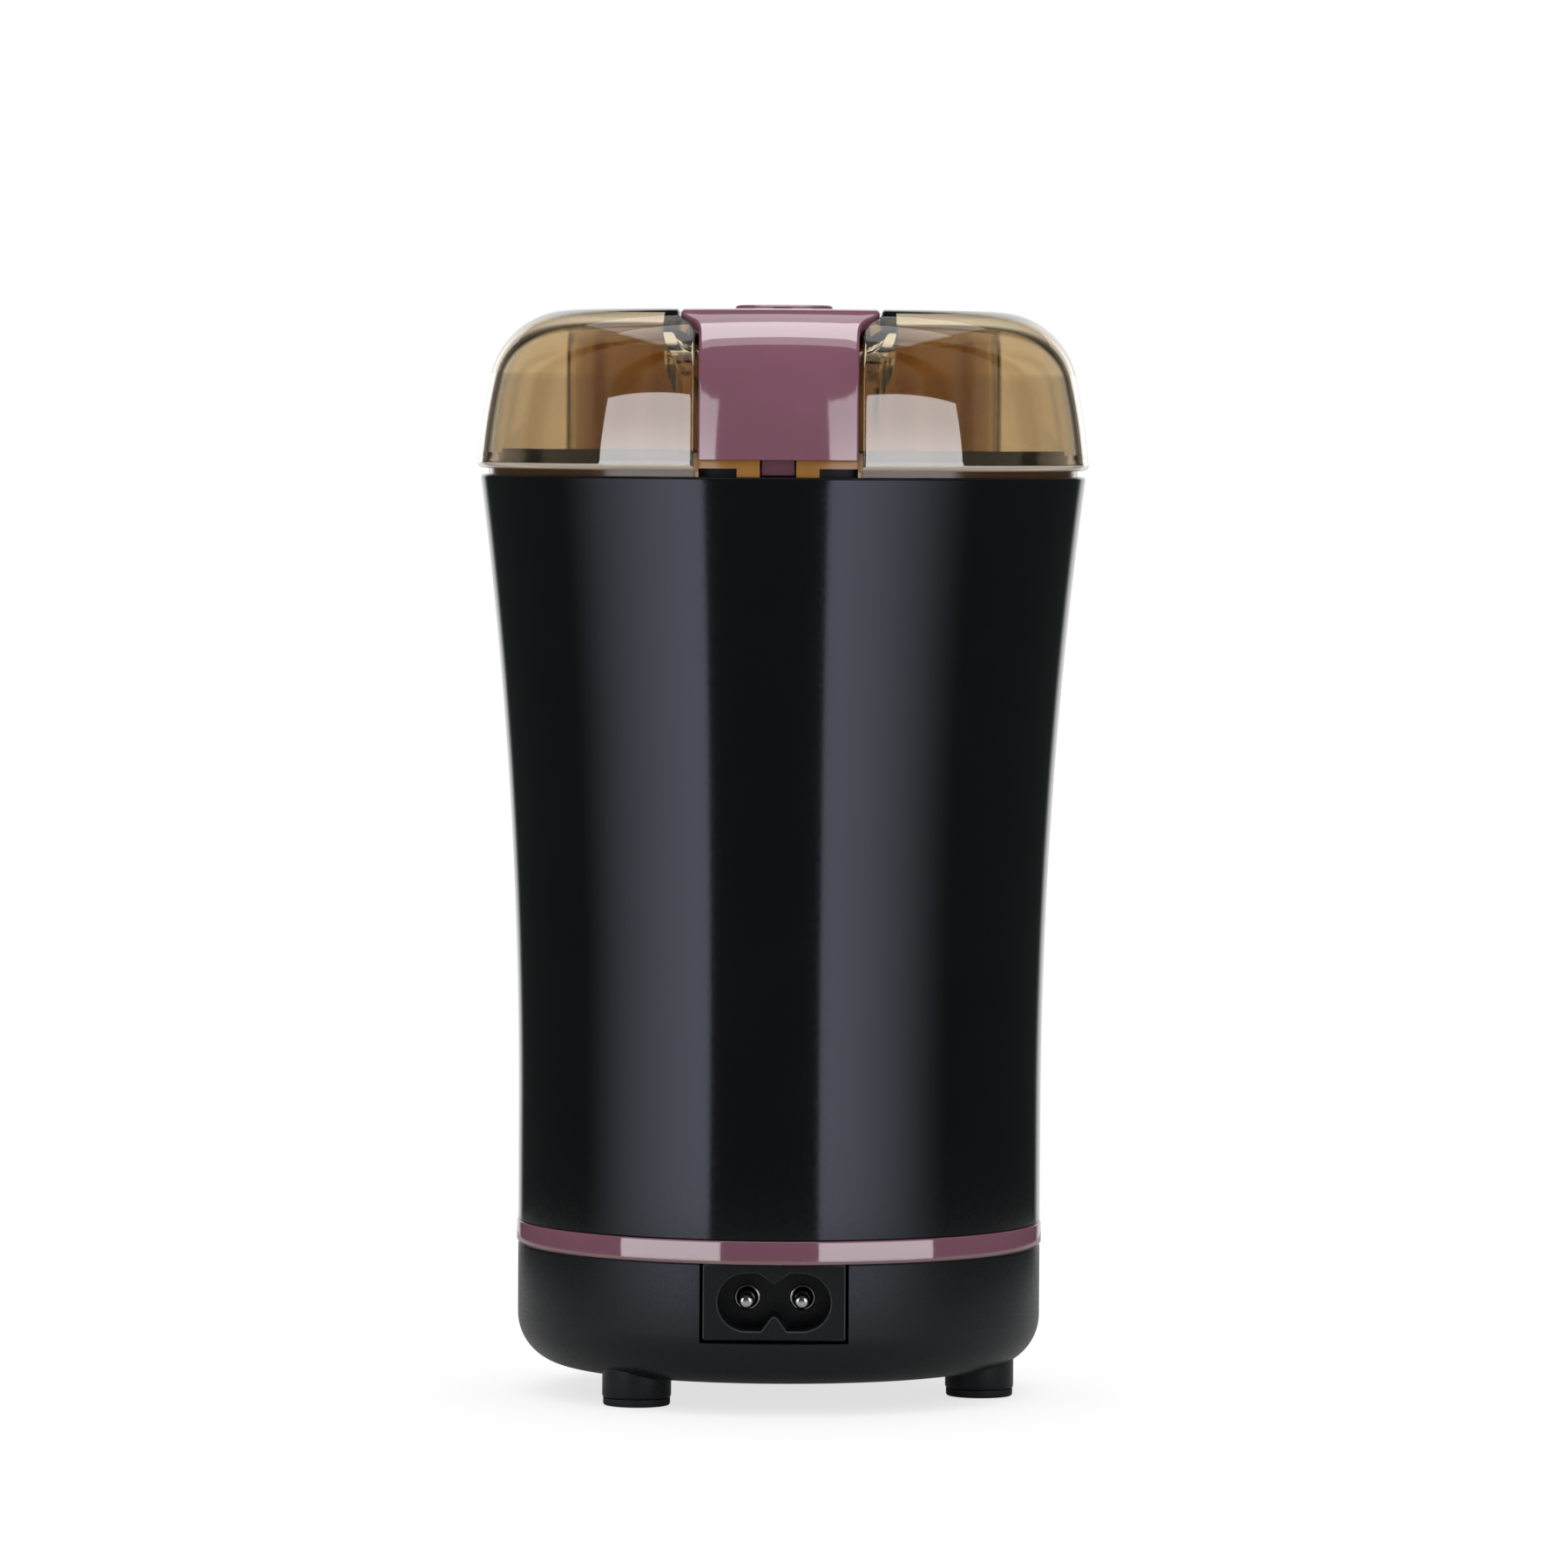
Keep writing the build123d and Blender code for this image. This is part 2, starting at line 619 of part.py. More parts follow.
def chassis():
    radius = shell_radius(plate_bottom) - SHELL_WALL - SLIDE_GAP
    body = drum(radius, plate_bottom, plate_top)
    body += tube(SEAT_INNER + SEAT_WALL, SEAT_INNER, plate_top, seat_top)
    for place in foot_places():
        body += drum(COLUMN_RADIUS, boss_top, plate_top, place)
        pilot = boss_top + BASE_SCREW_GRIP + SLIDE_GAP
        body -= drum(BASE_SCREW_RADIUS + FIT_GAP, boss_top, pilot, place)
    body += block(-SWITCH_WALL_HALF, SWITCH_WALL_HALF, -SWITCH_OFFSET, SWITCH_WALL - SWITCH_OFFSET,
                  switch_bottom - SLIDE_GAP, plate_top)
    body -= drum(NECK_RADIUS + SLIDE_GAP, plate_bottom, plate_top)
    for x in (-PILLAR_OFFSET, PILLAR_OFFSET):
        body -= drum(MOTOR_SCREW_RADIUS + SLIDE_GAP, plate_bottom, plate_top, (x, 0))
    for x in switch_hole_places():
        z = switch_bottom + SWITCH_HOLE_RISE
        body -= bar_y(SWITCH_SCREW_RADIUS + FIT_GAP, -switch_front, -SWITCH_OFFSET + SWITCH_WALL, x, z)
    foot_half = ROD_FOOT_HALF + 2 * SLIDE_GAP
    body -= block(-foot_half, foot_half, -FAR, -SWITCH_OFFSET, plate_bottom, plate_top)
    return body


# Motor stator

def bracket(web_bottom, pillar_bottom, pillar_top):
    """Cast bridge with two screw pillars."""
    body = block(-WEB_REACH, WEB_REACH, -WEB_WIDTH / 2, WEB_WIDTH / 2, web_bottom, web_bottom + WEB)
    body = fillet(body.edges().filter_by(Axis.Z), WEB_WIDTH / 5)
    for x in (-PILLAR_OFFSET, PILLAR_OFFSET):
        body += drum(PILLAR_RADIUS, pillar_bottom, pillar_top, (x, 0))
    return body


def drill_pillars(body, bottom, top):
    for x in (-PILLAR_OFFSET, PILLAR_OFFSET):
        body -= drum(MOTOR_SCREW_RADIUS + FIT_GAP, bottom, top, (x, 0))
    return body


def upper_bracket():
    body = bracket(upper_web, stack_top, upper_web)
    body += drum(NECK_RADIUS, upper_web, neck_top)
    body -= drum(SHAFT_RADIUS + SLIDE_GAP, upper_web, neck_top)
    body -= drum(BEARING_RADIUS + FIT_GAP, upper_web, upper_web + UPPER_BEARING_LENGTH)
    body -= drum(BEARING_RADIUS + FIT_GAP, neck_top - SEAL_HEIGHT, neck_top)
    return drill_pillars(body, stack_top, upper_web_top)


def lower_bracket():
    body = bracket(lower_web, lower_web_top, stack_bottom)
    arm = block(-WEB_WIDTH / 2, WEB_WIDTH / 2, -BRUSH_ARM, BRUSH_ARM, lower_web, lower_web_top)
    body += fillet(arm.edges().filter_by(Axis.Z), WEB_WIDTH / 5)
    body += drum(HUB_RADIUS, hub_bottom, lower_web_top)
    body -= drum(BEARING_RADIUS + FIT_GAP, lower_web_top - LOWER_BEARING_LENGTH, lower_web_top)
    body -= drum(SHAFT_RADIUS + SLIDE_GAP, hub_bottom, lower_web_top)
    return drill_pillars(body, lower_web, stack_bottom)


def upper_bearing():
    return tube(BEARING_RADIUS, SHAFT_RADIUS + RUN_GAP, upper_web, upper_web + UPPER_BEARING_LENGTH)


def lower_bearing():
    bottom = lower_web_top - LOWER_BEARING_LENGTH
    return tube(BEARING_RADIUS, SHAFT_RADIUS + RUN_GAP, bottom, lower_web_top)


def shaft_seal():
    return tube(BEARING_RADIUS, SHAFT_RADIUS + RUN_GAP, neck_top - SEAL_HEIGHT, neck_top)


def stator_core():
    outline = RectangleRounded(2 * STACK_HALF_X, 2 * STACK_HALF_Y, STACK_CORNER) - Circle(BORE_RADIUS)
    shoe = Circle(BORE_RADIUS + SHOE)
    window_outer = STACK_HALF_X - YOKE
    window_width = window_outer - POLE_HALF
    window_middle = (window_outer + POLE_HALF) / 2
    for sign in (-1, 1):
        window = Pos(sign * window_middle, 0) * Rectangle(window_width, 2 * (STACK_HALF_Y - YOKE)) - shoe
        tips = Pos(sign * (window_outer + BORE_RADIUS) / 2, 0)
        tips *= Rectangle(window_outer - BORE_RADIUS + SHOE, POLE_TIP_GAP)
        outline -= window
        outline -= tips
        outline -= Pos(sign * PILLAR_OFFSET, 0) * Circle(MOTOR_SCREW_RADIUS + FIT_GAP)
    return Pos(0, 0, stack_bottom) * extrude(outline, STACK_HEIGHT)


def field_coils():
    inner_x = POLE_HALF + COIL_GAP
    outer_x = inner_x + COIL_WALL
    inner_z = STACK_HEIGHT / 2 + COIL_GAP
    outer_z = inner_z + COIL_WALL
    outline = RectangleRounded(2 * outer_x, 2 * outer_z, COIL_WALL)
    outline -= RectangleRounded(2 * inner_x, 2 * inner_z, 2 * COIL_GAP)
    middle = (stack_bottom + stack_top) / 2
    back = STACK_HALF_Y - YOKE - COIL_GAP
    coils = []
    for face in (COIL_DEPTH - back, back):
        coils.append(extrude(Plane((0, face, middle), x_dir=(1, 0, 0), z_dir=(0, -1, 0)) * outline, COIL_DEPTH))
    return coils


def motor_dampers():
    return [tube(DAMPER_RADIUS, MOTOR_SCREW_RADIUS + FIT_GAP, upper_web_top, plate_bottom, (x, 0))
            for x in (-PILLAR_OFFSET, PILLAR_OFFSET)]


def motor_screws():
    end = lower_web - MOTOR_NUT_HEIGHT
    screws = []
    for x in (-PILLAR_OFFSET, PILLAR_OFFSET):
        shank = drum(MOTOR_SCREW_RADIUS, end, plate_top, (x, 0))
        screws.append(shank + drum(MOTOR_HEAD_RADIUS, plate_top, plate_top + MOTOR_HEAD_HEIGHT, (x, 0)))
    return screws


def motor_nuts():
    return [hexagon(MOTOR_NUT_FLATS, MOTOR_SCREW_RADIUS + FIT_GAP, lower_web - MOTOR_NUT_HEIGHT, lower_web, (x, 0))
            for x in (-PILLAR_OFFSET, PILLAR_OFFSET)]


# Brush gear, made on the +Y side and turned for the other side

def both_sides(item):
    return around(2, item)


brush_middle = lower_web_top + HOLDER_FOOT + HOLDER_HEIGHT / 2
holder_end = HOLDER_INNER + HOLDER_LENGTH
brush_start = COMMUTATOR_RADIUS + RUN_GAP


def brush_holders():
    top = lower_web_top + HOLDER_FOOT + HOLDER_HEIGHT
    half = HOLDER_WIDTH / 2
    body = block(-half, half, HOLDER_INNER, holder_end, lower_web_top + HOLDER_FOOT, top)
    body += block(-half, half, HOLDER_INNER, BRUSH_ARM, lower_web_top, lower_web_top + HOLDER_FOOT)
    hole_x = BRUSH_WIDTH / 2 + FIT_GAP
    hole_z = BRUSH_HEIGHT / 2 + FIT_GAP
    body -= block(-hole_x, hole_x, 0, holder_end - HOLDER_CAP, brush_middle - hole_z, brush_middle + hole_z)
    return both_sides(body)


def carbon_brushes():
    half_x = BRUSH_WIDTH / 2
    half_z = BRUSH_HEIGHT / 2
    body = block(-half_x, half_x, 0, brush_start + BRUSH_LENGTH, brush_middle - half_z, brush_middle + half_z)
    body -= drum(brush_start, hub_bottom, stack_top)
    return both_sides(body)


def brush_springs():
    start = brush_start + BRUSH_LENGTH
    spring = coil_spring(BRUSH_SPRING_RADIUS, BRUSH_SPRING_WIRE, start, holder_end - HOLDER_CAP, BRUSH_SPRING_TURNS)
    return both_sides(Pos(0, 0, brush_middle) * Rot(-90, 0, 0) * spring)


# Rotor

def rotor_shaft():
    shoulder = blade_bottom
    body = drum(SHAFT_RADIUS, hub_bottom - SHAFT_TAIL, shoulder)
    body += drum(THREAD_RADIUS, shoulder, shoulder + THREAD_LENGTH)
    return chamfer(body.edges().group_by(Axis.Z)[-1], THREAD_RADIUS / 5)


armature_radius = BORE_RADIUS - ARMATURE_GAP


def slot_bars(width, depth, bottom, top):
    outer = armature_radius
    return around(ARMATURE_SLOTS, block(outer - depth, outer + depth, -width / 2, width / 2, bottom, top))


def armature_core():
    body = tube(armature_radius, SHAFT_RADIUS + FIT_GAP, stack_bottom, stack_top)
    for slot in slot_bars(SLOT_WIDTH, SLOT_DEPTH, stack_bottom, stack_top):
        body -= slot
    return body


def armature_winding():
    outer = armature_radius - SLOT_DEPTH / 8
    inner = SHAFT_RADIUS + SLOT_WIDTH / 2
    crown = outer - END_TURN_TAPER
    low = turned([(inner, stack_bottom - END_TURN), (crown, stack_bottom - END_TURN),
                  (outer, stack_bottom - END_TURN + END_TURN_TAPER), (outer, stack_bottom), (inner, stack_bottom)])
    high = turned([(inner, stack_top), (outer, stack_top), (outer, stack_top + END_TURN - END_TURN_TAPER),
                   (crown, stack_top + END_TURN), (inner, stack_top + END_TURN)])
    body = low + high
    width = SLOT_WIDTH - 2 * FIT_GAP
    bars = slot_bars(width, SLOT_DEPTH - FIT_GAP, stack_bottom, stack_top)
    body += [bar & drum(outer, stack_bottom, stack_top) for bar in bars]
    return body


commutator_top = stack_bottom - END_TURN - FIT_GAP


def commutator():
    bottom = lower_web_top + COMMUTATOR_GAP
    body = tube(COMMUTATOR_RADIUS, SHAFT_RADIUS + FIT_GAP, bottom, commutator_top)
    groove = block(COMMUTATOR_RADIUS - BAR_GROOVE_DEPTH, COMMUTATOR_RADIUS + BAR_GROOVE_DEPTH,
                   -BAR_GROOVE_WIDTH / 2, BAR_GROOVE_WIDTH / 2, bottom, commutator_top)
    for cut in around(COMMUTATOR_BARS, groove):
        body -= cut
    return body


def cooling_fan():
    top = upper_web - FAN_TOP_GAP
    vane_bottom = top - FAN_VANE
    plate = vane_bottom - FAN_PLATE
    body = drum(FAN_RADIUS, plate, vane_bottom) + drum(FAN_HUB_RADIUS, plate, top)
    half = FAN_VANE_THICKNESS / 2
    vane = block(SHAFT_RADIUS, FAN_RADIUS, -half, half, vane_bottom, top) & drum(FAN_RADIUS, plate, top)
    for copy in around(FAN_VANES, vane):
        body += copy
    return body - drum(SHAFT_RADIUS + FIT_GAP, plate, top)


def blade_hub():
    return tube(BLADE_HUB_RADIUS, SHAFT_RADIUS + FIT_GAP, blade_hub_bottom, blade_bottom)


def grinding_blade():
    tip = BLADE_LENGTH / 2
    lower = [(-tip, -BLADE_DOWN), (-BLADE_ROOT, 0), (BLADE_ROOT, 0), (tip, BLADE_UP)]
    upper = [(x, z + BLADE_THICKNESS) for x, z in reversed(lower)]
    outline = Polyline(*[(x, 0, blade_bottom + z) for x, z in lower + upper], close=True)
    strip = extrude(make_face(outline), BLADE_WIDTH / 2, dir=(0, 1, 0), both=True)
    plan = Pos(0, 0, hub_bottom) * extrude(SlotOverall(BLADE_LENGTH, BLADE_WIDTH), FAR)
    body = strip & plan
    leading = [edge for edge in body.edges().filter_by(GeomType.LINE)
               if abs(edge.center().X) > BLADE_ROOT
               and edge.center().Y * edge.center().X > 0
               and abs(edge.tangent_at(0).X) > 0.5]
    leading = [edge for edge in leading if is_upper_blade_edge(edge.center())]
    body = chamfer(leading, BLADE_THICKNESS * 0.6, BLADE_EDGE) if leading else body
    return body - drum(THREAD_RADIUS + FIT_GAP, hub_bottom, FAR)


def is_upper_blade_edge(point):
    """Whether a point lies on the blade's upper face rather than its lower one."""
    share = (abs(point.X) - BLADE_ROOT) / (BLADE_LENGTH / 2 - BLADE_ROOT)
    rise = BLADE_UP if point.X > 0 else -BLADE_DOWN
    return point.Z > blade_bottom + rise * share + BLADE_THICKNESS / 2


def blade_nut():
    bottom = blade_top
    body = hexagon(BLADE_NUT_FLATS, THREAD_RADIUS + FIT_GAP, bottom, bottom + BLADE_NUT_HEIGHT)
    dome = Pos(0, 0, bottom) * Cone(BLADE_NUT_FLATS * 0.7, BLADE_NUT_FLATS * 0.45, BLADE_NUT_HEIGHT, align=UP)
    return body & dome


# Switch and push rod

def switch_hole_places():
    return (-SWITCH_HOLE_PITCH / 2, SWITCH_HOLE_PITCH / 2)


def switch_body():
    half = SWITCH_LENGTH / 2
    body = block(-half, half, -switch_front, -SWITCH_OFFSET, switch_bottom, switch_top)
    body = fillet(body.edges().filter_by(Axis.Y), SWITCH_HOLE_RISE / 3)
    well = switch_top - PLUNGER_DEPTH - PLUNGER_TRAVEL - SLIDE_GAP
    body -= drum(PLUNGER_RADIUS + RUN_GAP, well, switch_top, (0, -switch_middle))
    for x in switch_hole_places():
        z = switch_bottom + SWITCH_HOLE_RISE
        body -= bar_y(SWITCH_SCREW_RADIUS + FIT_GAP, -switch_front, -SWITCH_OFFSET, x, z)
    return body


def switch_plunger():
    body = drum(PLUNGER_RADIUS, switch_top - PLUNGER_DEPTH, plunger_top, (0, -switch_middle))
    return fillet(body.edges().group_by(Axis.Z)[-1], PLUNGER_RADIUS / 3)


def switch_screws():
    screws = []
    for x in switch_hole_places():
        z = switch_bottom + SWITCH_HOLE_RISE
        shank = bar_y(SWITCH_SCREW_RADIUS, -switch_front, SWITCH_WALL - SWITCH_OFFSET, x, z)
        screws.append(shank + bar_y(SWITCH_HEAD_RADIUS, -switch_front - SWITCH_HEAD_HEIGHT, -switch_front, x, z))
    return screws


def switch_terminals():
    half = TERMINAL_WIDTH / 2
    front = switch_middle + TERMINAL_THICKNESS / 2
    back = switch_middle - TERMINAL_THICKNESS / 2
    return [block(x - half, x + half, -front, -back, terminal_end, switch_bottom)
            for x in (-TERMINAL_PITCH / 2, TERMINAL_PITCH / 2)]


def rod_nose_front():
    return tongue_front - SLIDE_GAP * 2.5


def rod_nose_back():
    return rod_nose_front() - ROD_NOSE_WALL


def switch_rod():
    half = ROD_WIDTH / 2
    block_top = rod_shoulder
    low_wall = shell_radius(rod_block - STRAP_TRAVEL) - SHELL_WALL - 2 * SLIDE_GAP
    front = math.sqrt(low_wall ** 2 - half ** 2)
    back = ROD_OFFSET - ROD_RADIUS - ROD_HEEL
    body = block(-half, half, -front, -back, rod_block, block_top)
    body += block(-half, half, -min(front, rod_nose_front()), -rod_nose_back(), rod_block, shell_top)
    foot_wall = shell_radius(rod_bottom - STRAP_TRAVEL) - SHELL_WALL - SLIDE_GAP
    foot_front = math.sqrt(foot_wall ** 2 - ROD_FOOT_HALF ** 2)
    body += drum(ROD_RADIUS, rod_bottom, rod_block, (0, -ROD_OFFSET))
    body += block(-ROD_FOOT_HALF, ROD_FOOT_HALF, -min(foot_front, ROD_OFFSET + ROD_RADIUS / 2),
                  -switch_middle + PLUNGER_RADIUS, rod_bottom, rod_bottom + ROD_FOOT)
    return body


def rod_spring():
    return coil_spring(ROD_SPRING_RADIUS, SPRING_WIRE, spring_floor, rod_block, ROD_SPRING_TURNS, (0, -ROD_OFFSET))


# Mains inlet

def inlet_outline():
    """Figure-8 opening with its lower ridge."""
    shape = Rectangle(PIN_PITCH, 2 * LOBE_RADIUS)
    for x in (-PIN_PITCH / 2, PIN_PITCH / 2):
        shape += Pos(x, 0) * Circle(LOBE_RADIUS)
    for height, side in ((RIDGE_HEIGHT, -1), (RIDGE_HEIGHT / 2, 1)):
        base = side * LOBE_RADIUS
        ridge = Polyline((-RIDGE_WIDTH / 2, base), (RIDGE_WIDTH / 2, base), (0, base - side * height), close=True)
        shape -= make_face(ridge)
    return shape


def inlet_socket():
    half = INLET_WIDTH / 2
    back_of_nose = inlet_front - INLET_NOSE
    body = block(-half, half, -inlet_front, -back_of_nose, inlet_bottom, inlet_top)
    body += block(-half - INLET_FLANGE_LIP, half + INLET_FLANGE_LIP, -back_of_nose, INLET_FLANGE - back_of_nose,
                  inlet_bottom, inlet_top)
    body += block(-half + INLET_FLANGE_LIP, half - INLET_FLANGE_LIP, -back_of_nose, -inlet_back,
                  inlet_bottom, inlet_top)
    face = Plane((0, -inlet_front, inlet_middle), x_dir=(1, 0, 0), z_dir=(0, -1, 0))
    body -= extrude(face * inlet_outline(), -CAVITY_DEPTH)
    for x in (-PIN_PITCH / 2, PIN_PITCH / 2):
        body -= bar_y(PIN_ROOT_RADIUS + FIT_GAP, -cavity_back, -inlet_back, x, inlet_middle)
    return body


def inlet_pins():
    pins = []
    for x in (-PIN_PITCH / 2, PIN_PITCH / 2):
        pin = bar_y(PIN_RADIUS, -inlet_front + PIN_RECESS, -cavity_back, x, inlet_middle)
        pin = fillet(pin.edges().group_by(Axis.Y)[0], PIN_RADIUS * 0.7)
        pin += bar_y(PIN_ROOT_RADIUS, -cavity_back, -inlet_back, x, inlet_middle)
        tab = block(x - TAB_WIDTH / 2, x + TAB_WIDTH / 2, -inlet_back, -tab_end,
                    inlet_middle - TAB_THICKNESS / 2, inlet_middle + TAB_THICKNESS / 2)
        pins.append(pin + tab)
    return pins


# Leads from the inlet to the switch and the motor

def lead_start(x):
    return (x, -(inlet_back + tab_end) / 2, inlet_middle + TAB_THICKNESS / 2)


def live_lead():
    x, y, z = lead_start(-PIN_PITCH / 2)
    end_x = -TERMINAL_PITCH / 2
    quarter = (terminal_end - z) / 4
    return lead([(x, y, z), (x, y, z + quarter), (end_x, -switch_middle, terminal_end - quarter),
                 (end_x, -switch_middle, terminal_end)], quarter)


def neutral_lead():
    x, y, z = lead_start(PIN_PITCH / 2)
    coil_face = STACK_HALF_Y - YOKE - COIL_GAP
    height = stack_bottom - COIL_GAP - COIL_WALL / 2
    return lead([(x, y, z), (x, y, height), (x, -coil_face, height)], COIL_WALL / 2)


def motor_lead():
    x = TERMINAL_PITCH / 2
    drop = terminal_end - brush_middle
    bend = (0, -switch_middle, brush_middle)
    return lead([(x, -switch_middle, terminal_end), (x, -switch_middle, terminal_end - drop / 3),
                 bend, (0, -holder_end, brush_middle)], COIL_WALL / 2)


# Lid and press strap

def dome(inset, drop, foot):
    """Solid dome: the lid's outer skin, inset and lowered, standing on a straight foot."""
    top = lid_top - inset - drop
    corner = LID_CORNER - inset
    lean = math.radians(LID_LEAN)
    knee = (LID_FLAT_RADIUS + corner * math.cos(lean), 0, top - corner + corner * math.sin(lean))
    half = (math.pi / 2 + lean) / 2
    shoulder = (LID_FLAT_RADIUS + corner * math.cos(half), 0, top - corner + corner * math.sin(half))
    low = (LID_RADIUS - inset, 0, lid_bottom - drop)
    edge = (LID_RADIUS - inset, 0, foot)
    section = make_face([
        Line((0, 0, foot), edge),
        Line(edge, low),
        TangentArc(knee, low, tangent=(math.sin(lean), 0, -math.cos(lean))),
        ThreePointArc(knee, shoulder, (LID_FLAT_RADIUS, 0, top)),
        Line((LID_FLAT_RADIUS, 0, top), (0, 0, top)),
        Line((0, 0, top), (0, 0, foot)),
    ])
    return revolve(section, Axis.Z)


def strap_plan(half, flare_half, reach):
    """Upright prism over the strap's plan: a straight band that widens in a smooth bend towards the lid's top."""
    swing = math.acos(1 - (flare_half - half) / (2 * STRAP_FLARE_BEND))
    run = STRAP_FLARE_BEND * math.sin(swing)
    centre = ((half + flare_half) / 2, reach)
    wide = (flare_half, reach - run)
    narrow = (half, reach + run)
    side = [
        Line((0, 0), (flare_half, 0)),
        Line((flare_half, 0), wide),
        TangentArc(wide, centre, tangent=(0, 1)),
        TangentArc(narrow, centre, tangent=(0, -1)),
        Line(narrow, (half, FAR)),
        Line((half, FAR), (0, FAR)),
        Line((0, FAR), (0, 0)),
    ]
    quarter = make_face(side)
    right = quarter + mirror(quarter, about=Plane.XZ)
    return extrude(right + mirror(right, about=Plane.YZ), FAR)


def channel_space():
    """Room for the strap over its whole travel."""
    room = strap_plan(channel_half, pocket_half, STRAP_FLARE_REACH + CHANNEL_GAP)
    return room - dome(channel_inset, channel_drop, 0)


def cup_places():
    return ((0, -CUP_CIRCLE), (0, CUP_CIRCLE))


def lid_dome():
    below = shell_top - SEAM
    skin = dome(0, 0, lid_bottom - SEAM / 4)
    hollow = dome(LID_WALL, 0, below)
    side = CHANNEL_SIDE_WALL
    hollow -= strap_plan(channel_half + side, pocket_half + side, STRAP_FLARE_REACH + CHANNEL_GAP + side)
    under_channel = dome(channel_inset + CHANNEL_WALL, channel_drop, below)
    body = skin - block(-FAR, FAR, -FAR, FAR, below, lid_bottom) - hollow - under_channel
    body += tube(lip_outer, lip_inner, shell_top, lid_bottom + LIP_OVERLAP)
    skirt_bottom = shell_top + RIM_GASKET + BOWL_WALL - SKIRT_REACH
    skirt = tube(skirt_outer, skirt_outer - SKIRT_WALL, skirt_bottom, lid_top)
    cups = [drum(cup_inner + CUP_WALL, cup_floor - CUP_FLOOR, lid_top, place) for place in cup_places()]
    upper = dome(LID_WALL / 2, 0, below)
    body += skirt & drum(skirt_outer + 1, skirt_bottom, lid_top - LID_WALL / 2)
    for cup in cups:
        body += cup & upper
    body -= channel_space()
    for place in cup_places():
        body -= drum(cup_inner, cup_floor, lid_top, place)
        body -= drum(POST_RADIUS + SLIDE_GAP, cup_floor - CUP_FLOOR, cup_floor, place)
    tongue_half = TONGUE_WIDTH / 2 + SLIDE_GAP
    tongue_top = strap_bottom + TONGUE_ROOT + SLIDE_GAP
    body -= block(-tongue_half, tongue_half, -FAR, -tongue_front + TONGUE_DEPTH, shell_top, tongue_top)
    notch_inner = LIP_BLOCK_WIDTH / 2
    for start in (notch_inner, -notch_inner - LIP_NOTCH_WIDTH):
        body -= block(start, start + LIP_NOTCH_WIDTH, -FAR, -skirt_outer - SKIRT_WALL,
                      shell_top, shell_top + LIP_NOTCH_HEIGHT)
    return body


def press_strap():
    body = dome(0, 0, shell_top) - dome(STRAP_THICKNESS, 0, shell_top - SEAM)
    body -= block(-FAR, FAR, -FAR, FAR, 0, strap_bottom)
    body &= strap_plan(STRAP_WIDTH / 2, STRAP_FLARE_WIDTH / 2, STRAP_FLARE_REACH)
    bump = drum(BUMP_RADIUS, lid_top - STRAP_THICKNESS, lid_top + BUMP_HEIGHT)
    body += fillet(bump.edges().group_by(Axis.Z)[-1], BUMP_HEIGHT * 0.6)
    under = dome(STRAP_THICKNESS / 2, 0, 0)
    for place in cup_places():
        body += drum(PAD_POST_RADIUS, spring_top, lid_top, place) & under
        body += drum(POST_RADIUS, post_bottom, spring_top, place)
        body -= drum(STRAP_SCREW_RADIUS + FIT_GAP, post_bottom, post_bottom + STRAP_SCREW_GRIP + SLIDE_GAP, place)
    half = TONGUE_WIDTH / 2
    back = -tongue_front + TONGUE_DEPTH
    tongue = block(-half, half, -LID_RADIUS, back, strap_bottom, strap_bottom + TONGUE_ROOT) & under
    tongue += block(-half, half, -tongue_front, back, tongue_bottom, strap_bottom + TONGUE_ROOT)
    return body + tongue


def strap_screws():
    screws = []
    for place in cup_places():
        head = drum(STRAP_HEAD_RADIUS, post_bottom - STRAP_HEAD_HEIGHT, post_bottom, place)
        screws.append(head + drum(STRAP_SCREW_RADIUS, post_bottom, post_bottom + STRAP_SCREW_GRIP, place))
    return screws


def strap_springs():
    return [coil_spring(STRAP_SPRING_RADIUS, SPRING_WIRE, cup_floor, spring_top, STRAP_SPRING_TURNS, place)
            for place in cup_places()]


def save(maker):
    """Write one node's solids under the name of the function that makes them."""
    made = maker()
    items = made if isinstance(made, list) else [made]
    solids = [solid for item in items for solid in item.solids()]
    shape = solids[0] if len(solids) == 1 else Compound(solids)
    export_step(shape, f"parts/{maker.__name__}.step")


NODES = [
    base_shell, foot_pads, base_screws, trim_ring, outer_shell, rim_ring,
    grinding_bowl, rim_gasket, bowl_gasket, bowl_washer, bowl_nut, chassis,
    upper_bracket, lower_bracket, upper_bearing, lower_bearing, shaft_seal,
    stator_core, field_coils, motor_dampers, motor_screws, motor_nuts,
    brush_holders, carbon_brushes, brush_springs,
    rotor_shaft, armature_core, armature_winding, commutator, cooling_fan,
    blade_hub, grinding_blade, blade_nut,
    switch_body, switch_plunger, switch_screws, switch_terminals, switch_rod, rod_spring,
    inlet_socket, inlet_pins, live_lead, neutral_lead, motor_lead,
    lid_dome, press_strap, strap_screws, strap_springs,
]

os.makedirs("parts", exist_ok=True)
for node in NODES:
    save(node)
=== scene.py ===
import json
import math

import bmesh
import bpy
from mathutils import Matrix, Vector


